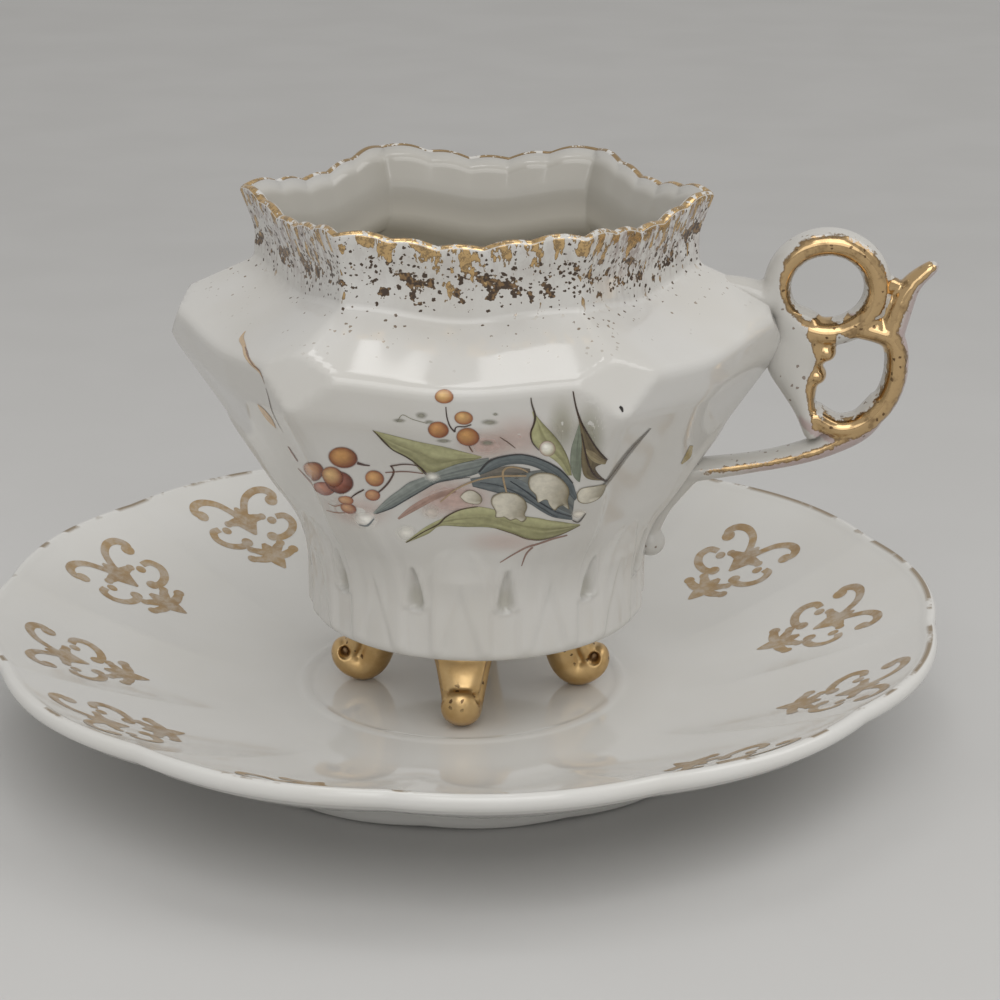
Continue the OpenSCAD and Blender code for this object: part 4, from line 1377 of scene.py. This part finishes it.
ring_up = (spots[:, 2] - loop_z) / loop_b
ring_out = (spots[:, 0] - loop_x) / loop_a
ring_turn = np.degrees(np.arctan2(ring_up, ring_out)) % 360
far_ring, side_ring, _ = place_on(upper_ring, True)
ring_stops = [0, 50, 85, 110, 125, 150, 180, 215, 250, 290, 330, 360]
ring_edge = [0.75, 0.75, 0.8, 0.8, 0.6, 0.25, -0.1, -0.3, -0.3, 0.0, 0.6, 0.75]
ring_limit = np.interp(ring_turn, ring_stops, ring_edge)
ring_gold = np.minimum(ring_limit - side_ring, side_ring + 0.85)
far_stem, side_stem, along_stem = place_on(stem)
far_spur, side_spur, along_spur = place_on(spur)
far_arm, side_arm, along_arm = place_on(arm)
far_web, _, _ = place_on(web)
far_root, _, _ = place_on(root)
far_tail, _, _ = place_on(tail)
stem_gold = np.minimum(np.minimum(side_stem + 0.82, 0.9 - side_stem), (0.96 - along_stem) * 6)
spur_gold = np.minimum(0.45 - side_spur, (0.9 - along_spur) * 6)
arm_gold = np.minimum(0.30 - np.abs(side_arm - 0.12), (0.85 - along_arm) * 4)
print("Share of the ring in gold", round(np.mean(ring_gold > 0), 2))


# %% [markdown]
# One more line of gold runs down the web and over its rolls. A point takes the rule of the scroll that
# it lies nearest to, and where scrolls meet the gold wins. A pink lustre shows where the brush ran dry,
# along the arm and at the edges of the stem and the spur.

# %% Margin of the gold
web_x = spots[:, 0] - brow_r
web_z = spots[:, 2] - handle_z
web_line = [(4.6, -0.4, 1.9), (4.8, -1.6, 1.5), (5.3, -3.2, 1.5), (5.1, -4.7, 1.25), (4.6, -6.1, 1.35),
            (3.7, -7.6, 0.9), (3.6, -9, 0.5), (3.9, -10.5, 0.5), (4.6, -12.2, 0.8)]
web_line = curve(web_line, 12)
web_gap = np.hypot(web_x[:, None] - web_line[:, 0], web_z[:, None] - web_line[:, 1])
web_gold = (web_line[:, 2] - web_gap).max(1)
far = np.stack([far_ring, far_stem, far_spur, far_arm, far_web, far_root, far_tail])
bare = 0 * far_root - 1
rules = np.stack([ring_gold, stem_gold, spur_gold, arm_gold, web_gold, bare, bare])
margin = np.take_along_axis(rules, np.argmin(far, 0)[None], 0)[0]
margin = np.maximum(margin, web_gold)
margin = np.maximum(margin, np.where(far_stem < 1.25, stem_gold, -1))
margin = np.maximum(margin, np.where(far_ring < 1.2, ring_gold, -1))
for bump_x, bump_z, bump_r, _ in BUMPS[2:]:
    reach = np.hypot(web_x - bump_x, web_z - bump_z)
    margin = np.maximum(margin, (bump_r - reach) / bump_r)
add_values(handle, "gold_margin", margin)
arm_ends = smooth((0.8 - along_arm) / 0.2) * smooth(along_arm / 0.1)
lustre = (far_arm < 1.15) * smooth((0.5 - side_arm) / 0.6) * arm_ends
lustre = np.maximum(lustre, (far_stem < 1.2) * smooth((-0.2 - side_stem) / 0.5))
lustre = np.maximum(lustre, (far_spur < 1.2) * smooth((side_spur - 0.1) / 0.6))
add_values(handle, "lustre", lustre)
print("Share of the handle in gold", round(np.mean(margin > 0), 2))


# %% [markdown]
# The edge of the gold is ragged, so noise shifts it. The gold is brown near its edge and has dark pits,
# and a few flecks of it were flung on the white. The handle's white glaze is painted greyer than the
# cup's, as shade.

# %% Brushed gold
coat = Finish("brushed_gold_glaze")
GOLD_DEEP = (0.17, 0.105, 0.055, 1)
edge = coat.times(coat.minus(coat.noise(0.9, 4, 0.6), 0.5), 0.8)
inset = coat.plus(coat.value("gold_margin"), edge)
gold = coat.ramp(inset, 0.0, 0.12)
near, chance = coat.flecks(0.8, 3.0)
pit = coat.times(coat.ramp(near, 0.3, 0.2), coat.ramp(chance, 0.8, 0.82))
shade = coat.times(coat.ramp(coat.noise(1.6, 3, 0.6), 0.5, 0.72), 0.6)
shade = coat.most(shade, coat.ramp(inset, 0.3, 0.08, 0.0, 0.7))
tone = coat.blend(coat.most(shade, pit), (0.60, 0.42, 0.22, 1), GOLD_DEEP)
# The handle's white glaze is painted greyer than the cup's, as shade.
body = coat.blend(0.5, glaze_colour(coat), (0.47, 0.455, 0.42, 1))
pink = coat.times(coat.value("lustre"), 0.75)
white = coat.blend(pink, body, (0.42, 0.31, 0.30, 1))
near, chance = coat.flecks(0.7, 9.0)
flung = coat.minus(chance, coat.ramp(coat.noise(5, 1), 0.4, 0.65, 0.25, 0.0))
flung = coat.times(coat.ramp(near, 0.34, 0.26), coat.ramp(flung, 0.83, 0.85))
white = coat.blend(coat.times(flung, 0.8), white, (0.17, 0.12, 0.085, 1))
coat.set("Base Color", coat.blend(gold, white, tone))
coat.set("Metallic", gold)
coat.set("Roughness", coat.ramp(gold, 0, 1, 0.08, 0.13))
handle.data.materials.append(coat.done())
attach(handle, "cup")
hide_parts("handle")


# %% [markdown]
# Each foot is a short scroll that curls outward at the toe, with a filled instep. The four come from
# one mould and are gilded all over. The eye of the toe is pressed in on both sides, and the sole and
# the top are cut level, where the foot meets the saucer and the cup.

# %% Feet
foot_r = 13.7
toe_r = 2.1
sole_z = 5.65
top_z = 16.32
foot_line = curve([
    [foot_r - 0.9 * toe_r, top_z + 0.5, 3.0, 4.5],
    [foot_r - 1.05 * toe_r, mix(top_z, sole_z, 0.34), 2.4, 3.5],
    [foot_r - 0.71 * toe_r, mix(top_z, sole_z, 0.68), 2.2, 2.8],
    [foot_r, sole_z + toe_r - 0.1, toe_r, 2.5],
    [foot_r + 0.9 * toe_r, sole_z + 1.35 * toe_r, 0.95 * toe_r, 2.5],
    [foot_r + 1.1 * toe_r, sole_z + 2.05 * toe_r, 0.85 * toe_r, 2.25],
    [foot_r + 1.05 * toe_r, sole_z + 2.52 * toe_r, 0.4 * toe_r, 1.1]], 12)
instep = curve([
    [foot_r - 0.7, 14.6, 0.9, 3.2], [foot_r + 0.1, 12.7, 1.2, 2.9], [foot_r + 0.9, 10.9, 1.3, 2.5],
    [foot_r + 1.5, 9.6, 1.2, 2.2]], 10)
foot_x = cup_x - 0.9
for name, turn in (("right", 0), ("back", 90), ("left", 180), ("front", 270)):
    foot, spots = melt("gilt_foot_" + name, [tube(foot_line), tube(instep)], 0.2, 24)
    foot.data.materials.append(gilding)
    from_eye = np.hypot(spots[:, 0] - foot_r - 1.05 * toe_r, spots[:, 2] - sole_z - 2.0 * toe_r)
    eye = smooth((0.95 - from_eye) / 0.7) * smooth(np.abs(spots[:, 1]) - 0.6)
    # The same mask darkens the gold in the eye, as painted shade.
    add_values(foot, "eye", eye)
    spots[:, 1] -= np.sign(spots[:, 1]) * 1.1 * eye
    spots[:, 2] = np.clip(spots[:, 2], sole_z + 0.02, top_z + 0.3)
    c, s = round_turn(turn)
    out, wide, up = spots.T
    turned = np.stack([c * out - s * wide, s * out + c * wide, up], 1)
    place_spots(foot, turned + [foot_x, cup_y, 0])
    turn_outward(foot)
    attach(foot, "cup")
    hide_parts("foot_" + name)


# %% [markdown]
# The set stands on a plain pale floor, painted a little darker towards the back, as shade. It lies just
# below the foot ring, so that their faces never coincide.

# %% Floor
coat = Finish("pale_floor")
# The floor is painted darker towards the back, as shade.
away = coat.ramp(coat.along("Y"), -0.15, 0.3)
pale = coat.blend(away, (0.585, 0.58, 0.57, 1), (0.44, 0.436, 0.428, 1))
grain = coat.ramp(coat.noise(30), 0.3, 0.7, 0.0, 0.06)
coat.set("Base Color", coat.blend(grain, pale, (0.68, 0.68, 0.68, 1)))
coat.set("Roughness", 0.9)
far_out = 3000
corners = [(x * far_out, y * far_out, -0.05) for x, y in ((-1, -1), (1, -1), (1, 1), (-1, 1))]
floor = make_piece("floor", corners, [(0, 1, 2, 3)], coat.done())


# %% [markdown]
# Soft light falls from high in front and from the right, over an even light from all around. Glaze and
# gold show what they mirror, so two small panes above the cup give the shoulder its bright patches.

# %% Light
world = bpy.data.worlds.new("studio")
bpy.context.scene.world = world
world.use_nodes = True
sky = world.node_tree.nodes["Background"].inputs
sky["Color"].default_value = (1.0, 0.985, 0.96, 1)
sky["Strength"].default_value = 0.54


def soft_light(name, spot, aim, size, watts):
    lamp = bpy.data.lights.new(name, "AREA")
    lamp.shape = "RECTANGLE"
    lamp.size, lamp.size_y = size
    lamp.energy = watts
    holder = bpy.data.objects.new(name, lamp)
    holder.location = spot
    holder.rotation_euler = (Vector(aim) - Vector(spot)).to_track_quat("-Z", "Y").to_euler()
    bpy.context.scene.collection.objects.link(holder)


soft_light("window", (1.0, 0.15, 1.2), (0, 0, 0.03), (0.9, 0.9), 4)
soft_light("ceiling", (0.15, -0.95, 1.3), (0, 0, 0.03), (1.0, 1.0), 6.5)
soft_light("pane_right", (-0.16, 0.17, 1.0), (0.0, 0, 0.05), (0.17, 0.26), 0.36)
soft_light("pane_left", (0.035, 0.21, 1.0), (0.0, 0, 0.05), (0.05, 0.1), 0.06)
soft_light("room", (0.15, -1.4, 0.7), (0, 0, 0.04), (1.4, 0.7), 3)
print("Lamps", len(bpy.data.lights))


# %% [markdown]
# The camera has a long lens. It stands about 35 centimetres away, nineteen degrees above the floor and
# a little to the handle's side. Standard view keeps colours as they are written.

# %% Camera
lens = bpy.data.cameras.new("camera")
lens.lens = 100.1
lens.sensor_width = 36
lens.clip_start = 0.01
camera = bpy.data.objects.new("camera", lens)
eye = Vector((25.6, -330.1, 143.1)) * MM
aim = Vector((4.74, 0.30, 29.67)) * MM
camera.location = eye
camera.rotation_mode = "QUATERNION"
camera.rotation_quaternion = (aim - eye).to_track_quat("-Z", "Y")
bpy.context.scene.collection.objects.link(camera)
bpy.context.scene.camera = camera
bpy.context.scene.view_settings.view_transform = "Standard"
print("Camera distance in mm", round((aim - eye).length / MM, 1))
